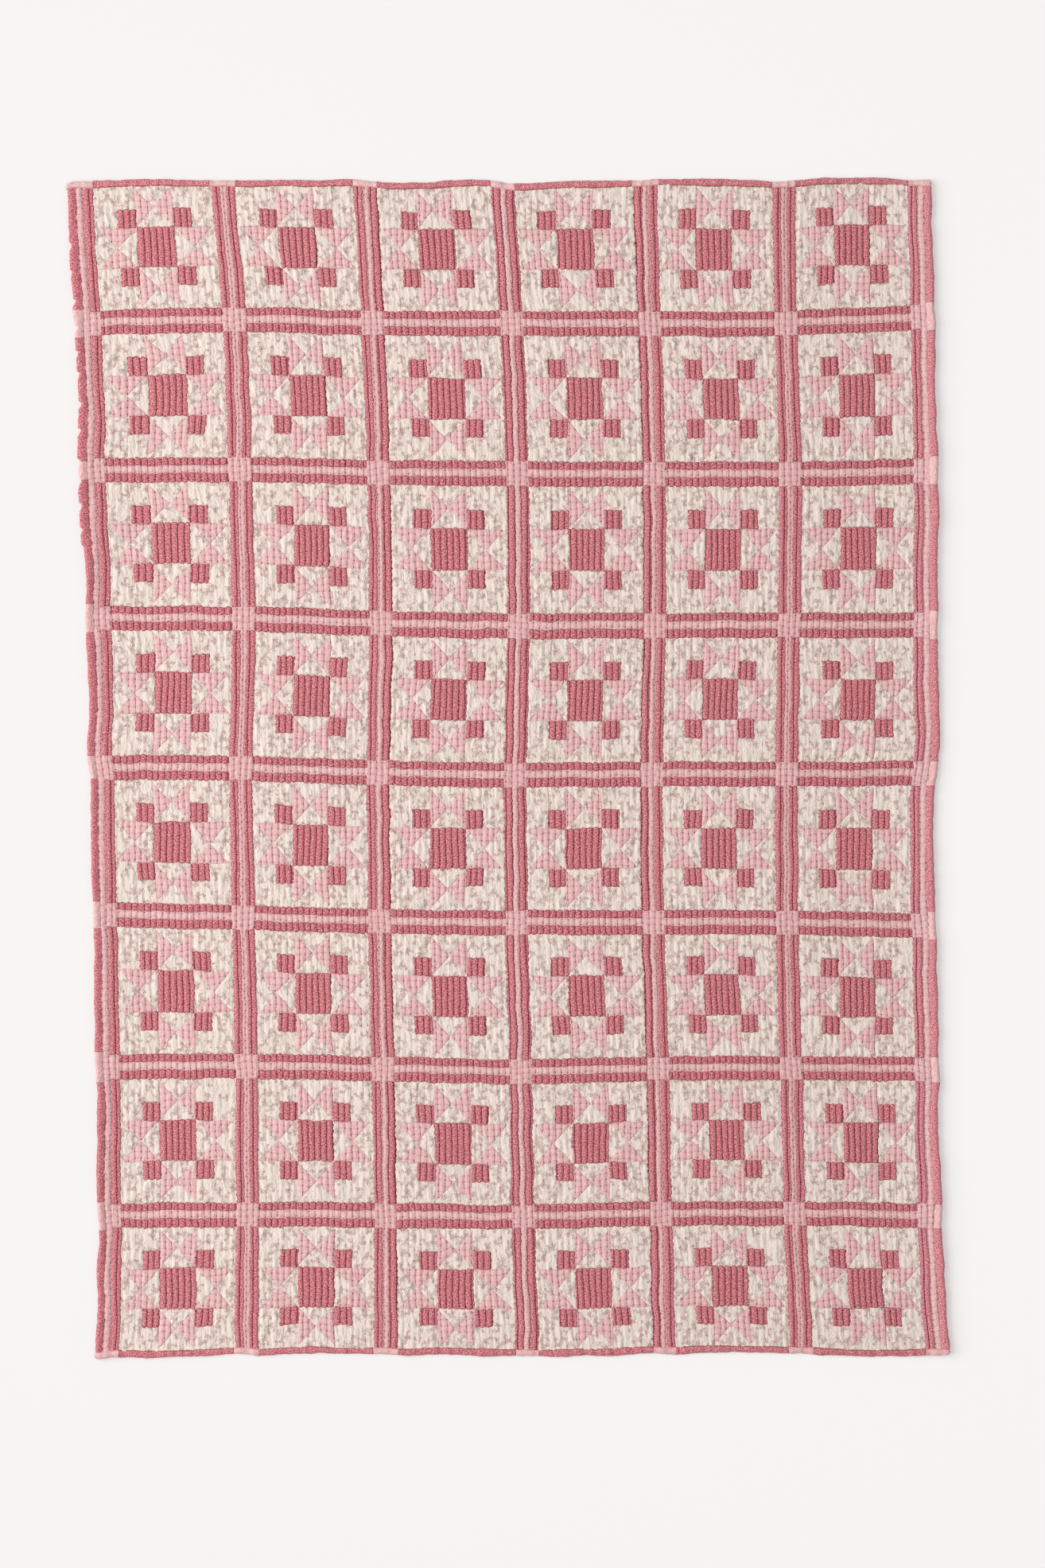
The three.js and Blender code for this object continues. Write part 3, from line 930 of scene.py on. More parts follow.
def roll_points(section, place, stations, start, end, seed, swell):
    """A binding's section carried along its edge, lumpy, gathered, and closed in at both ends."""
    rng = np.random.default_rng(seed)
    lumps = np.arange(start, end + LUMPS_PAST_END, LUMP)
    lumpy = np.clip(rng.normal(0, 1, len(lumps)), -LUMP_LIMIT, LUMP_LIMIT)
    puff = 1 + LUMPINESS * smooth_through(lumps, lumpy, stations)
    gather = rng.normal(0, GATHER, (len(stations), len(section)))
    cap = np.clip(np.minimum(stations - start, end - stations) / CLOSING, 0, 1)
    cap = np.sqrt(1 - (1 - cap) ** 2) * (1 - CLOSED) + CLOSED
    level = np.zeros(len(stations))
    outward = swell(stations) + uneven((EDGE_WAVE, seed + 2, ACROSS_ROLL, EDGE_WAVE_GRAIN), level, stations)
    outward += uneven((EDGE_NIPS, seed + 3, ACROSS_ROLL, EDGE_NIP_GRAIN), level, stations)
    inner = uneven((EDGE_WAVE, seed + 4, ACROSS_ROLL, INNER_WAVE_GRAIN), level, stations)
    middle_in = section[0][0] / 2
    rings = []
    for n, (inward, up) in enumerate(section):
        share = inward / (2 * middle_in)
        reach = (inward - middle_in) * cap + middle_in - outward * (1 - share) + inner * share
        height = (up * puff - ROLL_MIDDLE) * cap + ROLL_MIDDLE + gather[:, n] * (UNDERSIDE < up) * cap
        rings.append(lay(*place(stations, reach), height))
    return np.stack(rings, axis=1).reshape(-1, 3)


def roll_faces(count, sides):
    """The faces of a roll, each as the six corners of two triangles: their points, how many sides
    round the section each corner is, and the station that each face starts at."""
    s, n = (grid.ravel() for grid in np.meshgrid(np.arange(count - 1), np.arange(sides), indexing="ij"))
    a, b = s * sides + n, s * sides + (n + 1) % sides
    faces = np.stack([a, a + sides, b, b, a + sides, b + sides], axis=1)
    turns = np.stack([n, n, n + 1, n + 1, n, n + 1], axis=1)
    # Both ends are closed with a fan.
    first = np.array([(0, n, n + 1, 0, n + 1, n + 2) for n in range(1, sides - 1, 2)])
    fans = np.concatenate([first, (count - 1) * sides + first[:, ::-1]])
    starts_at = np.concatenate([s, np.repeat((0, count - 2), len(first))])
    return np.concatenate([faces, fans]), np.concatenate([turns, fans % sides]), starts_at


def make_binding(side, materials):
    """One edge's binding, in rose and pink lengths."""
    name, section, place, turns, start, end, starts_pink, seed, swell, tint = side
    stations = stations_between(start, end, turns)
    count, sides = len(stations), len(section)
    points = roll_points(section, place, stations, start, end, seed, swell)
    faces, round_section, s = roll_faces(count, sides)
    steps = [math.dist(corner, following) for corner, following in zip(section, (*section[1:], section[0]))]
    girth = np.cumsum([0.0, *steps]) * MM
    length_number = np.searchsorted(turns, (stations[s] + stations[s + 1]) / 2)
    is_pink = (length_number + starts_pink) % 2 == 1
    cut = cuts(len(turns) + 1, seed + 1)[length_number]
    cloth = np.stack([girth[round_section], stations[faces // sides] * MM], axis=2) + cut[:, None]
    # Its lot: where each length was cut, and the binding's tint, which is painted shade on the left and
    # painted light on the right.
    lot = np.repeat((cut * (1 / BOLT, 0) + (0, tint))[:, None], 6, axis=1)
    maps = {
        "Cloth": cloth.reshape(-1, 3, 2),
        "Quilting": np.full((2 * len(faces), 3, 2), 0.5),
        "Lot": lot.reshape(-1, 3, 2),
    }
    from_turn = np.repeat(np.abs(stations[:, None] - np.array(turns)).min(axis=1), sides)
    # The seam's painted shade also runs along the binding's inner edge.
    from_inner_edge = np.tile([max(section[1][0] - inward, 0) for inward, _ in section], count)
    values = {"from_seam": np.minimum(np.minimum(from_turn, from_inner_edge), FAR_OFF)}
    triangles = faces.reshape(-1, 3)
    pieces = []
    for fabric, wanted in (("rose", ~is_pink), ("pink", is_pink)):
        chosen, piece_name = np.repeat(wanted, 2), f"{name}_{fabric}"
        pieces.append(mesh_piece(piece_name, fabric, materials, points, triangles, maps, values, chosen))
    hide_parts(name)
    return pieces


def from_top(along, inward):
    """The end of the top binding droops at the top left corner."""
    droop = EAR_DROOP * np.exp(-(((along + CORNER_EAR) / EAR_LENGTH) ** EAR_CURVE))
    return along, inward + droop


def from_bottom(along, inward):
    return FLAT_WIDTH - along, FLAT_HEIGHT - inward


def from_left(along, inward):
    return inward, FLAT_HEIGHT - along


def from_right(along, inward):
    return FLAT_WIDTH - inward, along


def make_bindings(materials):
    """The four bindings. The bottom one runs from the right, and the left one runs upwards."""
    borders = (SIDE_BORDER, FLAT_WIDTH - SIDE_BORDER)
    leftward = [FLAT_WIDTH - middle for middle in SASH_MIDDLES_ACROSS]
    upward = [FLAT_HEIGHT - middle for middle in SASH_MIDDLES_DOWN]
    top_turns = turns_along(SASH_MIDDLES_ACROSS, PINK_ON_TOP, borders)
    bottom_turns = turns_along(leftward, PINK_ON_BOTTOM, borders)
    left_turns = turns_along(upward, PINK_ON_LEFT)
    right_turns = turns_along(SASH_MIDDLES_DOWN, PINK_ON_RIGHT)
    head, foot = END_BINDING - SIDES_ABOVE, FLAT_HEIGHT - END_BINDING + SIDES_BELOW
    upward_start, upward_end = FLAT_HEIGHT - foot, FLAT_HEIGHT - head
    left_end, right_end = -BOTTOM_OVERHANG, FLAT_WIDTH + BOTTOM_OVERHANG
    # name, section, place, turns, start, end, whether it starts pink, seed, swell, tint
    # The tint darkens a binding above 0 and lightens it below: on the left as painted shade, on the right as
    # painted light. The bottom one is darker.
    sides = (
        ("binding_top", END_ROLL, from_top, top_turns, -CORNER_EAR, FLAT_WIDTH, True, 71, unswollen, 0.0),
        ("binding_bottom", END_ROLL, from_bottom, bottom_turns, left_end, right_end, True, 73, swollen, 0.6),
        ("binding_left", SIDE_ROLL, from_left, left_turns, upward_start, upward_end, False, 75, tucked, 0.8),
        ("binding_right", SIDE_ROLL, from_right, right_turns, head, foot, False, 77, unswollen, -0.8),
    )
    return [piece for side in sides for piece in make_binding(side, materials)]


# ---- Backing ------------------------------------------------------------------------------------

BACK_ROWS = 89
BACK_UNDER = 0.5  # how far the back runs on beneath the end bindings
BACK_DENT = 1.1  # how far it rises into a line of stitches
BACK_CRUMPLE = 0.1


def make_backing(materials):
    """The plain back: it rests on the channels' crowns and rises into the lines of stitches."""
    columns = np.sort(np.concatenate([LINES, (LINES[:-1] + LINES[1:]) / 2]))
    rows = np.linspace(END_BINDING - BACK_UNDER, FLAT_HEIGHT - END_BINDING + BACK_UNDER, BACK_ROWS)
    across, down = (grid.ravel() for grid in np.meshgrid(columns, rows))
    crumpled = BACK_CRUMPLE * (1 + uneven(BACK_CRUMPLES, across, down))
    dent = BACK_DENT * (1 - off_line(across)) + crumpled
    points = lay(across, down, np.clip(dent, 0, None))
    triangles = grid_triangles(chequered(rows, columns))[:, ::-1]
    cloth = np.stack([across, -down], axis=1) * MM
    quilting = np.stack([line_number(across), stitch_number(across, down)], axis=1)
    maps = {"Cloth": cloth[triangles], "Quilting": quilting[triangles]}
    values = {"from_seam": np.full(len(points), FAR_OFF)}
    return mesh_piece("backing", "backing", materials, points, triangles, maps, values)


# ---- Materials ----------------------------------------------------------------------------------

# Widths and heights of grains in the cloth, and thread spacings, are in metres.
THREADWORK = (0.0012, 0.0012)  # fine unevenness in the threads
SLUB = (0.0014, 0.009)  # a stretch of thicker thread
BACK_SLUB = (0.0009, 0.009)
SEAM_RAGS = (0.0036, 0.0036)  # the ragged edge of a seam's shadow
LINE_REACH = 0.14  # how far a line of quilting draws its channels down and paints shade into them, as a share of one
LINE_CORE = 0.02  # and how far it is at its darkest
STITCH_REACH = (0.13, 0.22)  # the same for a stitch, across and along, in channels and stitches


def shade(red, green, blue):
    """A colour as a dyer's card gives it, from 0 to 255, for Blender's linear sockets."""
    steps = [value / 255 for value in (red, green, blue)]
    return tuple(v / 12.92 if v <= 0.04045 else ((v + 0.055) / 1.055) ** 2.4 for v in steps) + (1.0,)


def connect(tree, socket, value):
    if isinstance(value, bpy.types.NodeSocket):
        tree.links.new(value, socket)
    else:
        socket.default_value = value


def calc(tree, operation, *values, clamp=False):
    node = tree.nodes.new("ShaderNodeMath")
    node.operation = operation
    node.use_clamp = clamp
    for socket, value in zip(node.inputs, values):
        connect(tree, socket, value)
    return node.outputs[0]


def times(tree, first, second):
    return calc(tree, "MULTIPLY", first, second)


def times_plus(tree, first, second, third):
    return calc(tree, "MULTIPLY_ADD", first, second, third)


def plus(tree, first, second):
    return calc(tree, "ADD", first, second)


def minus(tree, first, second):
    return calc(tree, "SUBTRACT", first, second)


def size_of(tree, value):
    return calc(tree, "ABSOLUTE", value)


def largest(tree, first, *others):
    for other in others:
        first = calc(tree, "MAXIMUM", first, other)
    return first


def length_of(tree, x, y):
    return calc(tree, "SQRT", plus(tree, times(tree, x, x), times(tree, y, y)))


def between(tree, value, low, high):
    """0 where the value is at or under low, 1 at or over high, and smooth between. High may be the
    lower of the two."""
    node = tree.nodes.new("ShaderNodeMapRange")
    node.interpolation_type = "SMOOTHSTEP"
    connect(tree, node.inputs["Value"], value)
    connect(tree, node.inputs["From Min"], low)
    connect(tree, node.inputs["From Max"], high)
    return node.outputs["Result"]


def blend_colours(tree, share, first, second):
    node = tree.nodes.new("ShaderNodeMix")
    node.data_type = "RGBA"
    connect(tree, node.inputs["Factor"], share)
    connect(tree, node.inputs[6], first)
    connect(tree, node.inputs[7], second)
    return node.outputs[2]


def tinted(tree, colour, *tints):
    """The colour after each tint in turn: where it took, how strong it is there, and its shade. The tints
    are dyes, flecks and print, and also painted light and shade.
    """
    for where, strength, tint in tints:
        colour = blend_colours(tree, times(tree, where, strength), colour, shade(*tint))
    return colour


def cloth_place(tree, map_name="Cloth"):
    node = tree.nodes.new("ShaderNodeUVMap")
    node.uv_map = map_name
    return node.outputs["UV"]


def point_value(tree, name):
    node = tree.nodes.new("ShaderNodeAttribute")
    node.attribute_name = name
    return node.outputs["Fac"]


def parts_of(tree, vector):
    """A place's X, Y and Z, each by itself."""
    node = tree.nodes.new("ShaderNodeSeparateXYZ")
    tree.links.new(vector, node.inputs[0])
    return node.outputs


def grained(tree, place, size, turn=0.0, detail=2.0):
    """Noise whose grains have that width and height in metres, turned by so many degrees."""
    mapping = tree.nodes.new("ShaderNodeMapping")
    mapping.vector_type = "TEXTURE"
    mapping.inputs["Rotation"].default_value = (0, 0, math.radians(turn))
    mapping.inputs["Scale"].default_value = (*size, 1)
    tree.links.new(place, mapping.inputs["Vector"])
    noise = tree.nodes.new("ShaderNodeTexNoise")
    noise.inputs["Scale"].default_value = 1
    noise.inputs["Detail"].default_value = detail
    tree.links.new(mapping.outputs["Vector"], noise.inputs["Vector"])
    return noise.outputs["Fac"]


def cloudy(tree, place, size, first, second):
    """A colour that drifts between two shades."""
    share = between(tree, grained(tree, place, size), 0.3, 0.7)
    return blend_colours(tree, share, shade(*first), shade(*second))


def slubs(tree, place, size):
    """Where the cloth's thicker threads run, along it and across."""
    both = plus(tree, grained(tree, place, size), grained(tree, place, size[::-1]))
    return between(tree, both, 0.75, 1.25)


def bump(tree, height, distance, normal=None):
    node = tree.nodes.new("ShaderNodeBump")
    node.inputs["Strength"].default_value = 1.0
    node.inputs["Distance"].default_value = distance
    connect(tree, node.inputs["Height"], height)
    if normal is not None:
        tree.links.new(normal, node.inputs["Normal"])
    return node.outputs["Normal"]


def woven(tree, place, thread, distance, normal):
    """Bumps a cloth, by so much, where a plain weave rises and falls, with its threads so far apart."""
    at = parts_of(tree, place)
    waves = [calc(tree, "SINE", times(tree, at[axis], 2 * math.pi / thread)) for axis in ("X", "Y")]
    return bump(tree, times_plus(tree, times(tree, *waves), 0.5, 0.5), distance, normal)


def cotton(name, roughness=0.92, sheen=0.1):
    """A matt cotton's material, its nodes, and the sockets of its surface."""
    material = bpy.data.materials.new(name)
    material.use_nodes = True
    tree = material.node_tree
    tree.nodes.clear()
    output = tree.nodes.new("ShaderNodeOutputMaterial")
    surface = tree.nodes.new("ShaderNodeBsdfPrincipled")
    surface.inputs["Roughness"].default_value = roughness
    surface.inputs["Specular IOR Level"].default_value = 0.2
    surface.inputs["Sheen Weight"].default_value = sheen
    surface.inputs["Sheen Roughness"].default_value = 0.6
    tree.links.new(surface.outputs["BSDF"], output.inputs["Surface"])
    return material, tree, surface.inputs


def off_sewing(tree):
    """How far each point is off its line of quilting and off its stitch, both from 0 to 0.5."""
    at = parts_of(tree, cloth_place(tree, "Quilting"))
    return [calc(tree, "PINGPONG", at[axis], 0.5) for axis in ("X", "Y")]


def sewing(tree, reach=LINE_REACH):
    """How near each point is to the sewing, each from 0 to 1: its line of quilting, its stitch on
    that line, the crease that joins it to the next line's stitch, and its seam. The line reaches
    that share of a channel to each side."""
    aside, along = off_sewing(tree)
    from_stitch = [calc(tree, "DIVIDE", off, size) for off, size in zip((aside, along), STITCH_REACH)]
    ragged = times(tree, grained(tree, cloth_place(tree), SEAM_RAGS, detail=1.0), 2.6)
    return (
        between(tree, aside, reach, LINE_CORE),
        between(tree, length_of(tree, *from_stitch), 1.0, 0.2),
        between(tree, along, 0.17, 0.0),
        between(tree, point_value(tree, "from_seam"), ragged, 0.1),
    )


def painted_shade_in_sewing(tree, colour, shadow, strengths, reach=LINE_REACH):
    """Paints shade into the cloth's colour, towards its shadow colour, in the hollows where the line,
    stitch, crease and seam draw it down, each by its strength."""
    nears = sewing(tree, reach)
    dark = largest(tree, *(times(tree, near, strength) for near, strength in zip(nears, strengths)))
    return blend_colours(tree, dark, colour, shade(*shadow))


def sewn_down(tree, depths, normal):
    """Bumps the cloth down into its line, stitch, crease and seam, by those depths in millimetres."""
    depth = 0.0
    for near, size in zip(sewing(tree), depths):
        depth = times_plus(tree, near, size, depth)
    return bump(tree, times(tree, depth, -1.0), MM, normal)


def lot_and_painted_light(tree):
    """How deep the patch took its dye, from 0 to 1, with painted shade that deepens down to the right. Also
    how much darker or paler its strip is, partly as painted light and shade.
    """
    at = parts_of(tree, cloth_place(tree, "Lot"))
    return at["X"], at["Y"]


def rose_chambray():
    """A rose warp crossed by a pale weft: matt, and flecked all over."""
    material, tree, surface = cotton("rose_chambray")
    place = cloth_place(tree)
    ways = [grained(tree, place, (0.0013, 0.002), turn, detail=3.0) for turn in (38, -38)]
    flecks = largest(tree, *ways)
    pale = between(tree, flecks, 0.5, 0.7)
    deep = between(tree, calc(tree, "MINIMUM", *ways), 0.48, 0.32)
    mottle = between(tree, grained(tree, place, (0.0042, 0.0034)), 0.42, 0.62)
    aside, along = off_sewing(tree)
    crest = between(tree, aside, 0.14, 0.42)
    beads = between(tree, size_of(tree, minus(tree, along, 0.25)), 0.03, 0.19)
    lot, sash_tone_and_light = lot_and_painted_light(tree)
    # The base colour is painted darker near the lines of quilting than on the channels' crests: painted
    # shade towards the grooves.
    colour = tinted(
        tree,
        blend_colours(tree, crest, shade(180, 85, 93), shade(192, 102, 109)),
        # painted shade deepening down to the right, with each patch's own dye
        (lot, 0.36, (176, 74, 86)),
        # the level rose strips and the bottom binding darker, and the left binding darker as painted shade
        (sash_tone_and_light, 0.62, (178, 72, 86)),
        # painted light: the left rose strip of each upright sash, the right border and the right binding
        # paler
        (sash_tone_and_light, -0.5, (216, 140, 150)),
        (mottle, 0.62, (210, 134, 141)),
        (pale, 0.8, (240, 184, 186)),
        (deep, 1.0, (128, 42, 54)),
    )
    # The painted shade in the rose's lines of quilting is ragged and beaded at the stitches and halfway
    # between. It is a little less on the darker strips and more on the paler ones.
    ragged = times_plus(tree, between(tree, grained(tree, place, (0.005, 0.008)), 0.35, 0.6), 0.45, 0.75)
    ragged = times(tree, ragged, times_plus(tree, beads, 0.4, 0.6))
    ragged = times(tree, ragged, times_plus(tree, sash_tone_and_light, -0.1, 1.0))
    # Painted shade, a deep red, in the rose's lines, stitches and seams.
    colour = painted_shade_in_sewing(tree, colour, (106, 12, 28), (ragged, 0.9, 0.0, 0.45))
    fibres = bump(tree, flecks, 0.0007)
    tree.links.new(colour, surface["Base Color"])
    tree.links.new(sewn_down(tree, (0.5, 0.5, 0.1, 0.5), fibres), surface["Normal"])
    return material


def pink_cotton():
    """Plain light pink, with the faint slubs of its threads."""
    material, tree, surface = cotton("pink_cotton")
    place = cloth_place(tree)
    lot, sash_tone_and_light = lot_and_painted_light(tree)
    threadwork = between(tree, grained(tree, place, THREADWORK, detail=1.0), 0.56, 0.36)
    colour = tinted(
        tree,
        cloudy(tree, place, (0.02, 0.02), (215, 170, 169), (224, 183, 181)),
        # painted shade deepening down to the right, with each patch's own dye
        (lot, 0.3, (202, 144, 146)),
        # darker pink as painted shade on the upright sashes, cornerstones, left border and left binding, and
        # darker on the bottom binding
        (sash_tone_and_light, 0.42, (207, 144, 146)),
        (slubs(tree, place, SLUB), 0.55, (240, 206, 204)),
        (threadwork, 0.4, (190, 132, 134)),
    )
    # Painted shade in the pink's lines, stitches, creases and seams, spread wider across its channels.
    colour = painted_shade_in_sewing(tree, colour, (146, 80, 84), (0.4, 1.0, 0.2, 0.14), 0.22)
    wrinkle = bump(tree, grained(tree, place, (0.0045, 0.008), detail=3.0), 0.0022)
    threads = woven(tree, place, 0.0009, 0.00008, wrinkle)
    tree.links.new(colour, surface["Base Color"])
    tree.links.new(sewn_down(tree, (0.2, 0.6, 0.25, 0.25), threads), surface["Normal"])
    return material


# ---- Sprig print --------------------------------------------------------------------------------

SPRIG_WIDTH = 0.0222  # the room that each sprig has, in metres
SPRIG_HEIGHT = 0.0202
SPRIG_PLAY = 0.24  # its middle lies anywhere within this share of that room

LEAF_ANGLE = 0.707  # leaves slant at half a right angle
LEAF_LENGTH = 1.5
LEAF_WIDTH = 0.55
LEAF_OUT = 1.4  # how far from the stem their middles are


def sprig_cell(tree, place, shift, seed, left_out):
    """Places along and across one sprig, in millimetres from its middle, each turned its own way,
    and whether there is one there at all: that share of them is left out."""
    at = parts_of(tree, place)
    y = times_plus(tree, at["Y"], 1 / SPRIG_HEIGHT, shift)
    row = calc(tree, "FLOOR", y)
    x = times_plus(tree, at["X"], 1 / SPRIG_WIDTH, shift)
    x = times_plus(tree, calc(tree, "PINGPONG", row, 1.0), 0.5, x)
    cell = tree.nodes.new("ShaderNodeCombineXYZ")
    for socket, value in zip(cell.inputs, (calc(tree, "FLOOR", x), row, seed)):
        connect(tree, socket, value)
    lot = tree.nodes.new("ShaderNodeTexWhiteNoise")
    tree.links.new(cell.outputs[0], lot.inputs["Vector"])
    lots = parts_of(tree, lot.outputs["Color"])
    sides = []
    for place_in, its_lot, size in ((x, lots[0], SPRIG_WIDTH), (y, lots[1], SPRIG_HEIGHT)):
        middle = times_plus(tree, its_lot, SPRIG_PLAY, 0.5 - SPRIG_PLAY / 2)
        sides.append(times(tree, minus(tree, calc(tree, "FRACT", place_in), middle), size / MM))
    angle = times(tree, lots[2], 2 * math.pi)
    cosine, sine = calc(tree, "COSINE", angle), calc(tree, "SINE", angle)
    along = plus(tree, times(tree, sides[0], cosine), times(tree, sides[1], sine))
    beside = minus(tree, times(tree, sides[1], cosine), times(tree, sides[0], sine))
    shown = calc(tree, "GREATER_THAN", calc(tree, "FRACT", times(tree, lots[0], 7.0)), left_out)
    return along, beside, shown


def leafy_stem(tree, along, beside, bend, aside, spacing, reach):
    """A bowed stem, and the leaves set by turns along its two sides."""
    bowed = minus(tree, times_plus(tree, times(tree, along, along), bend, beside), aside)
    off = size_of(tree, bowed)
    on_stem = between(tree, size_of(tree, along), reach + 0.6, reach)
    stem = times(tree, between(tree, off, 0.6, 0.15), on_stem)
    turn = times(tree, calc(tree, "GREATER_THAN", bowed, 0.0), 0.5)
    step = calc(tree, "FRACT", times_plus(tree, along, 1 / spacing, turn))
    step = times(tree, minus(tree, step, 0.5), spacing)
    out = minus(tree, off, LEAF_OUT)
    lengthwise = times(tree, plus(tree, step, out), LEAF_ANGLE / LEAF_LENGTH)
    crosswise = times(tree, minus(tree, step, out), LEAF_ANGLE / LEAF_WIDTH)
    leaf = times(tree, between(tree, length_of(tree, lengthwise, crosswise), 1.1, 0.6), on_stem)
    return stem, leaf


def rosette(tree, along, beside, x, y, size, petals=5.0):
    """A small open flower: a scalloped ring round a dot."""
    dx, dy = minus(tree, along, x), minus(tree, beside, y)
    distance = length_of(tree, dx, dy)
    scallop = calc(tree, "COSINE", times(tree, calc(tree, "ARCTAN2", dy, dx), petals))
    rim = times_plus(tree, scallop, 0.16 * size, size)
    ring = between(tree, size_of(tree, minus(tree, distance, rim)), 0.6, 0.1)
    return largest(tree, ring, between(tree, distance, 1.0, 0.5))


def sprigs(tree, place, shift, seed, left_out):
    """How much grey and how much faded rose the print lays at each point."""
    along, beside, shown = sprig_cell(tree, place, shift, seed, left_out)
    main_stem, main_leaves = leafy_stem(tree, along, beside, 0.06, 0.5, 2.9, 7.8)
    side_stem, side_leaves = leafy_stem(tree, beside, along, -0.07, -3.8, 2.8, 5.0)
    flowers = [
        rosette(tree, along, beside, -1.0, 4.6, 1.9),
        rosette(tree, along, beside, 5.4, -4.2, 1.3),
    ]
    grey = largest(tree, main_leaves, side_leaves, times(tree, main_stem, 0.35))
    rose = largest(tree, *flowers, main_stem, side_stem)
    return times(tree, grey, shown), times(tree, rose, shown)


def cream_print():
    """Cream cotton strewn with small sprigs in soft grey and faded rose."""
    material, tree, surface = cotton("cream_print")
    place = cloth_place(tree)
    threadwork = between(tree, grained(tree, place, (0.0012, 0.0014), detail=1.0), 0.54, 0.34)
    worn = between(tree, grained(tree, place, (0.0022, 0.0022)), 0.36, 0.62)
    ink = times_plus(tree, worn, 0.35, 0.52)
    strong, faint = sprigs(tree, place, 0.0, 3.0, 0.1), sprigs(tree, place, 0.43, 8.0, 0.45)
    grey, rose = (largest(tree, one, times(tree, other, 0.75)) for one, other in zip(strong, faint))
    colour = tinted(
        tree,
        cloudy(tree, place, (0.008, 0.016), (215, 202, 192), (227, 210, 200)),
        (threadwork, 0.3, (192, 172, 160)),
        (rose, ink, (174, 112, 110)),
        (grey, ink, (130, 99, 93)),
    )
    # Painted shade in the cream's lines, stitches and seams, kept faint.
    colour = painted_shade_in_sewing(tree, colour, (160, 138, 128), (0.1, 0.2, 0.0, 0.12))
    folds = bump(tree, grained(tree, place, (0.0085, 0.024), 6, detail=1.5), 0.004)
    crinkle = bump(tree, grained(tree, place, (0.003, 0.005), -10), 0.0011, folds)
    threads = woven(tree, place, 0.0008, 0.00006, crinkle)
    tree.links.new(colour, surface["Base Color"])
    tree.links.new(sewn_down(tree, (0.1, 0.25, 0.05, 0.25), threads), surface["Normal"])
    return material


def quilting_thread():
    """Dark rose cotton that fades to buff where it crosses the cream, with the marks of its twist."""
    material, tree, surface = cotton("quilting_thread", 0.8)
    where = tree.nodes.new("ShaderNodeTexCoord")
    twist = between(tree, grained(tree, where.outputs["Object"], (0.0005, 0.0009), 35), 0.35, 0.65)
    colour = blend_colours(tree, twist, shade(142, 54, 66), shade(166, 80, 90))
    colour = blend_colours(tree, point_value(tree, "on_cream"), colour, shade(206, 184, 172))
    tree.links.new(colour, surface["Base Color"])
    return material


def backing_cotton():
    """Plain light pink cotton, puckered by the quilting."""
    material, tree, surface = cotton("backing_cotton")
    place = cloth_place(tree)
    colour = cloudy(tree, place, (0.02, 0.03), (208, 165, 164), (216, 175, 173))
    colour = tinted(tree, colour, (slubs(tree, place, BACK_SLUB), 0.3, (228, 192, 191)))
    # Painted shade in the back's lines, stitches and creases.
    colour = painted_shade_in_sewing(tree, colour, (166, 112, 114), (0.3, 0.8, 0.1, 0.0))
    wrinkle = bump(tree, grained(tree, place, (0.004, 0.012), detail=3.0), 0.0014)
    threads = woven(tree, place, 0.0009, 0.00008, wrinkle)
    tree.links.new(colour, surface["Base Color"])
    tree.links.new(sewn_down(tree, (0.3, 0.7, 0.2, 0.0), threads), surface["Normal"])
    return material


# ---- Studio -------------------------------------------------------------------------------------

ROOM_LIGHT = 0.575
WINDOW_LIGHT = 472.0
WINDOW_SIZE = 5.8
WINDOW_TOWARDS = (-0.76, 0.1, 0.64)
WINDOW_DISTANCE = 6.3
FLOOR_REACH = 12.0  # how far the sheet goes each way, in metres
FLOOR_LEVEL = -0.0003
FLOOR_TONE_ACROSS = 0.45  # how much of the way from near to far the floor's tone goes in a metre
FLOOR_TONE_UP = -0.06
FLOOR_NEAR = (0.41, 0.403, 0.395, 1.0)
FLOOR_FAR = (0.55, 0.54, 0.531, 1.0)
FLOOR_GLOW = 0.37  # how much of its own light the sheet gives, lit from underneath
FLOOR_GLOW_COLOUR = (1.0, 0.983, 0.965, 1.0)
SENSOR = 36  # in millimetres
VIEW_HEIGHT = 2.3948  # how much of the floor the view takes in from top to bottom, in metres
CAMERA_PLACE = (0.0233, -0.0243, 6.0)


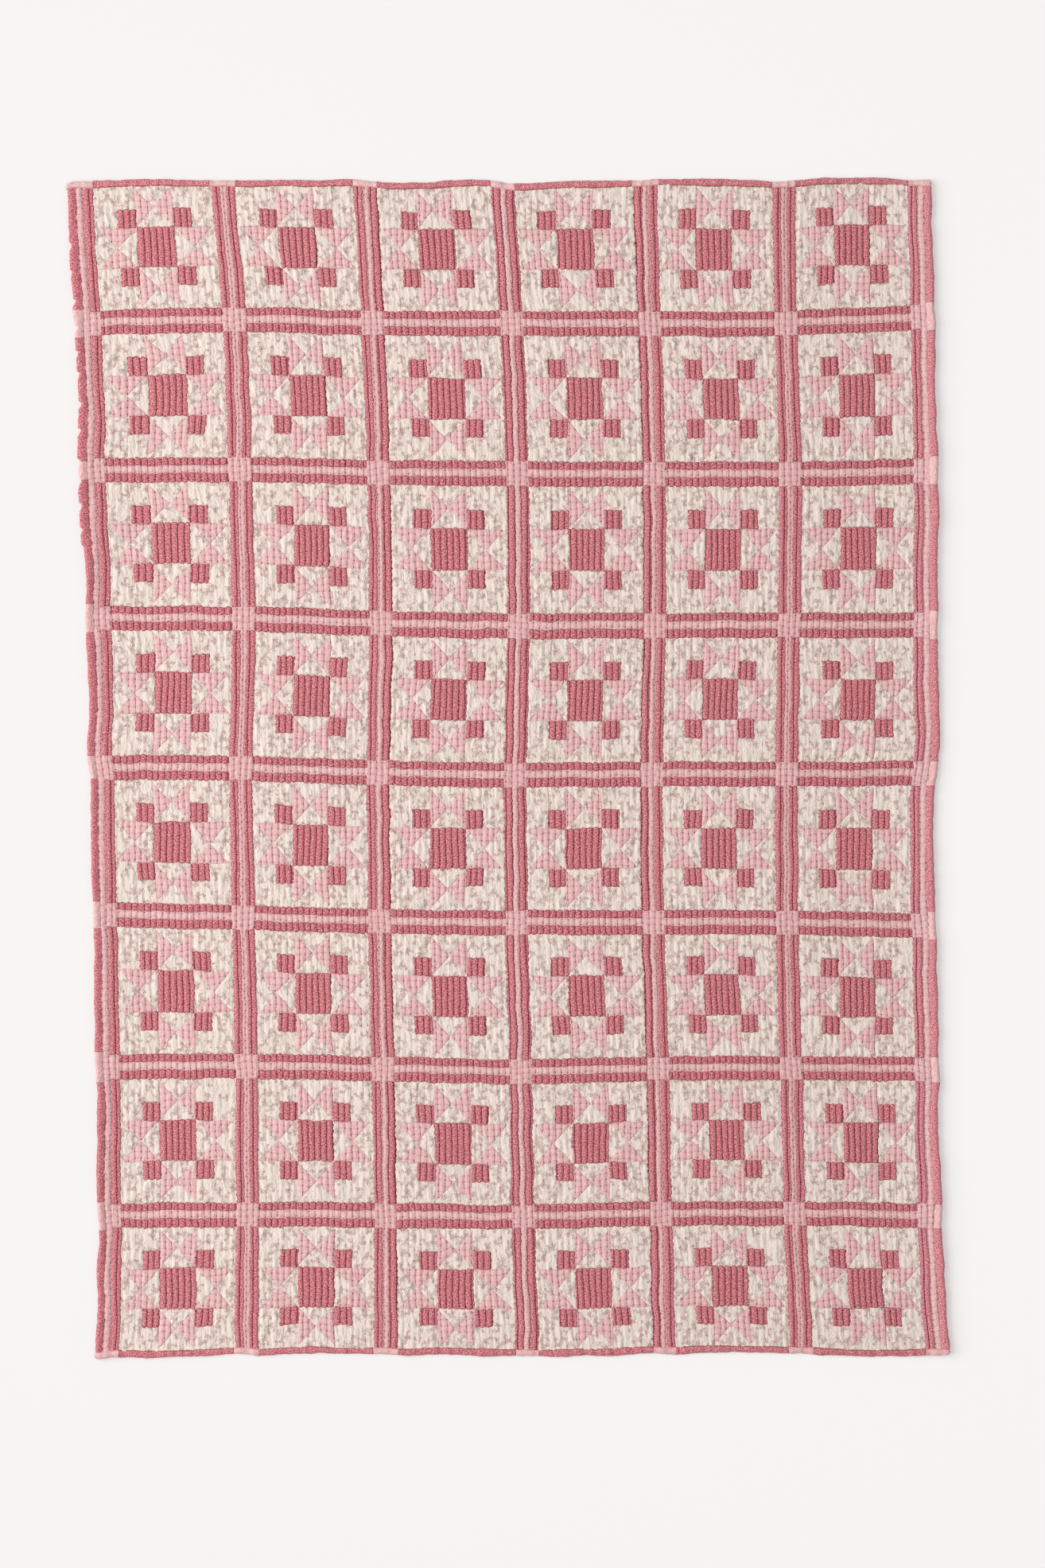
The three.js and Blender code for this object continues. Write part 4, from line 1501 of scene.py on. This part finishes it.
def studio_floor():
    """A pale sheet lit from underneath, a little lighter away from the window so that it looks even."""
    mesh = bpy.data.meshes.new("studio_floor")
    ends = ((-1, -1), (1, -1), (1, 1), (-1, 1))
    corners = [(FLOOR_REACH * x, FLOOR_REACH * y, FLOOR_LEVEL) for x, y in ends]
    mesh.from_pydata(corners, [], [(0, 1, 2, 3)])
    floor = bpy.data.objects.new("studio_floor", mesh)
    bpy.context.scene.collection.objects.link(floor)
    material, tree, surface = cotton("studio_floor", 0.9, 0.0)
    where = tree.nodes.new("ShaderNodeTexCoord")
    at = parts_of(tree, where.outputs["Object"])
    away = times_plus(tree, at["X"], FLOOR_TONE_ACROSS, 0.5)
    away = calc(tree, "MULTIPLY_ADD", at["Y"], FLOOR_TONE_UP, away, clamp=True)
    tree.links.new(blend_colours(tree, away, FLOOR_NEAR, FLOOR_FAR), surface["Base Color"])
    surface["Emission Color"].default_value = FLOOR_GLOW_COLOUR
    surface["Emission Strength"].default_value = FLOOR_GLOW
    mesh.materials.append(material)
    return floor


def studio_light():
    """A wide, soft window up to the left, and an even light from all round."""
    world = bpy.data.worlds.new("studio")
    bpy.context.scene.world = world
    world.use_nodes = True
    sky = world.node_tree.nodes["Background"]
    sky.inputs["Color"].default_value = (1.0, 1.0, 1.0, 1)
    sky.inputs["Strength"].default_value = ROOM_LIGHT
    light = bpy.data.lights.new("soft_window", "AREA")
    light.energy = WINDOW_LIGHT
    light.size = WINDOW_SIZE
    window = bpy.data.objects.new("soft_window", light)
    bpy.context.scene.collection.objects.link(window)
    window.visible_camera = False
    towards = mathutils.Vector(WINDOW_TOWARDS).normalized()
    window.location = towards * WINDOW_DISTANCE
    window.rotation_mode = "QUATERNION"
    window.rotation_quaternion = (-towards).to_track_quat("-Z", "Y")


def studio_camera():
    """Straight above the throw."""
    data = bpy.data.cameras.new("overhead")
    data.lens = SENSOR * CAMERA_PLACE[2] / VIEW_HEIGHT
    camera = bpy.data.objects.new("overhead", data)
    camera.location = CAMERA_PLACE
    bpy.context.scene.collection.objects.link(camera)
    bpy.context.scene.camera = camera


# ---- The throw ----------------------------------------------------------------------------------

bpy.context.scene.view_settings.view_transform = "Standard"
studio_camera()
studio_light()
floor = studio_floor()

materials = {
    "cream": cream_print(),
    "pink": pink_cotton(),
    "rose": rose_chambray(),
    "thread": quilting_thread(),
    "backing": backing_cotton(),
}
top_pieces = make_top(materials)
binding_pieces = make_bindings(materials)
stitch_pieces = make_stitches(materials)
backing = make_backing(materials)
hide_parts("quilt_panel")
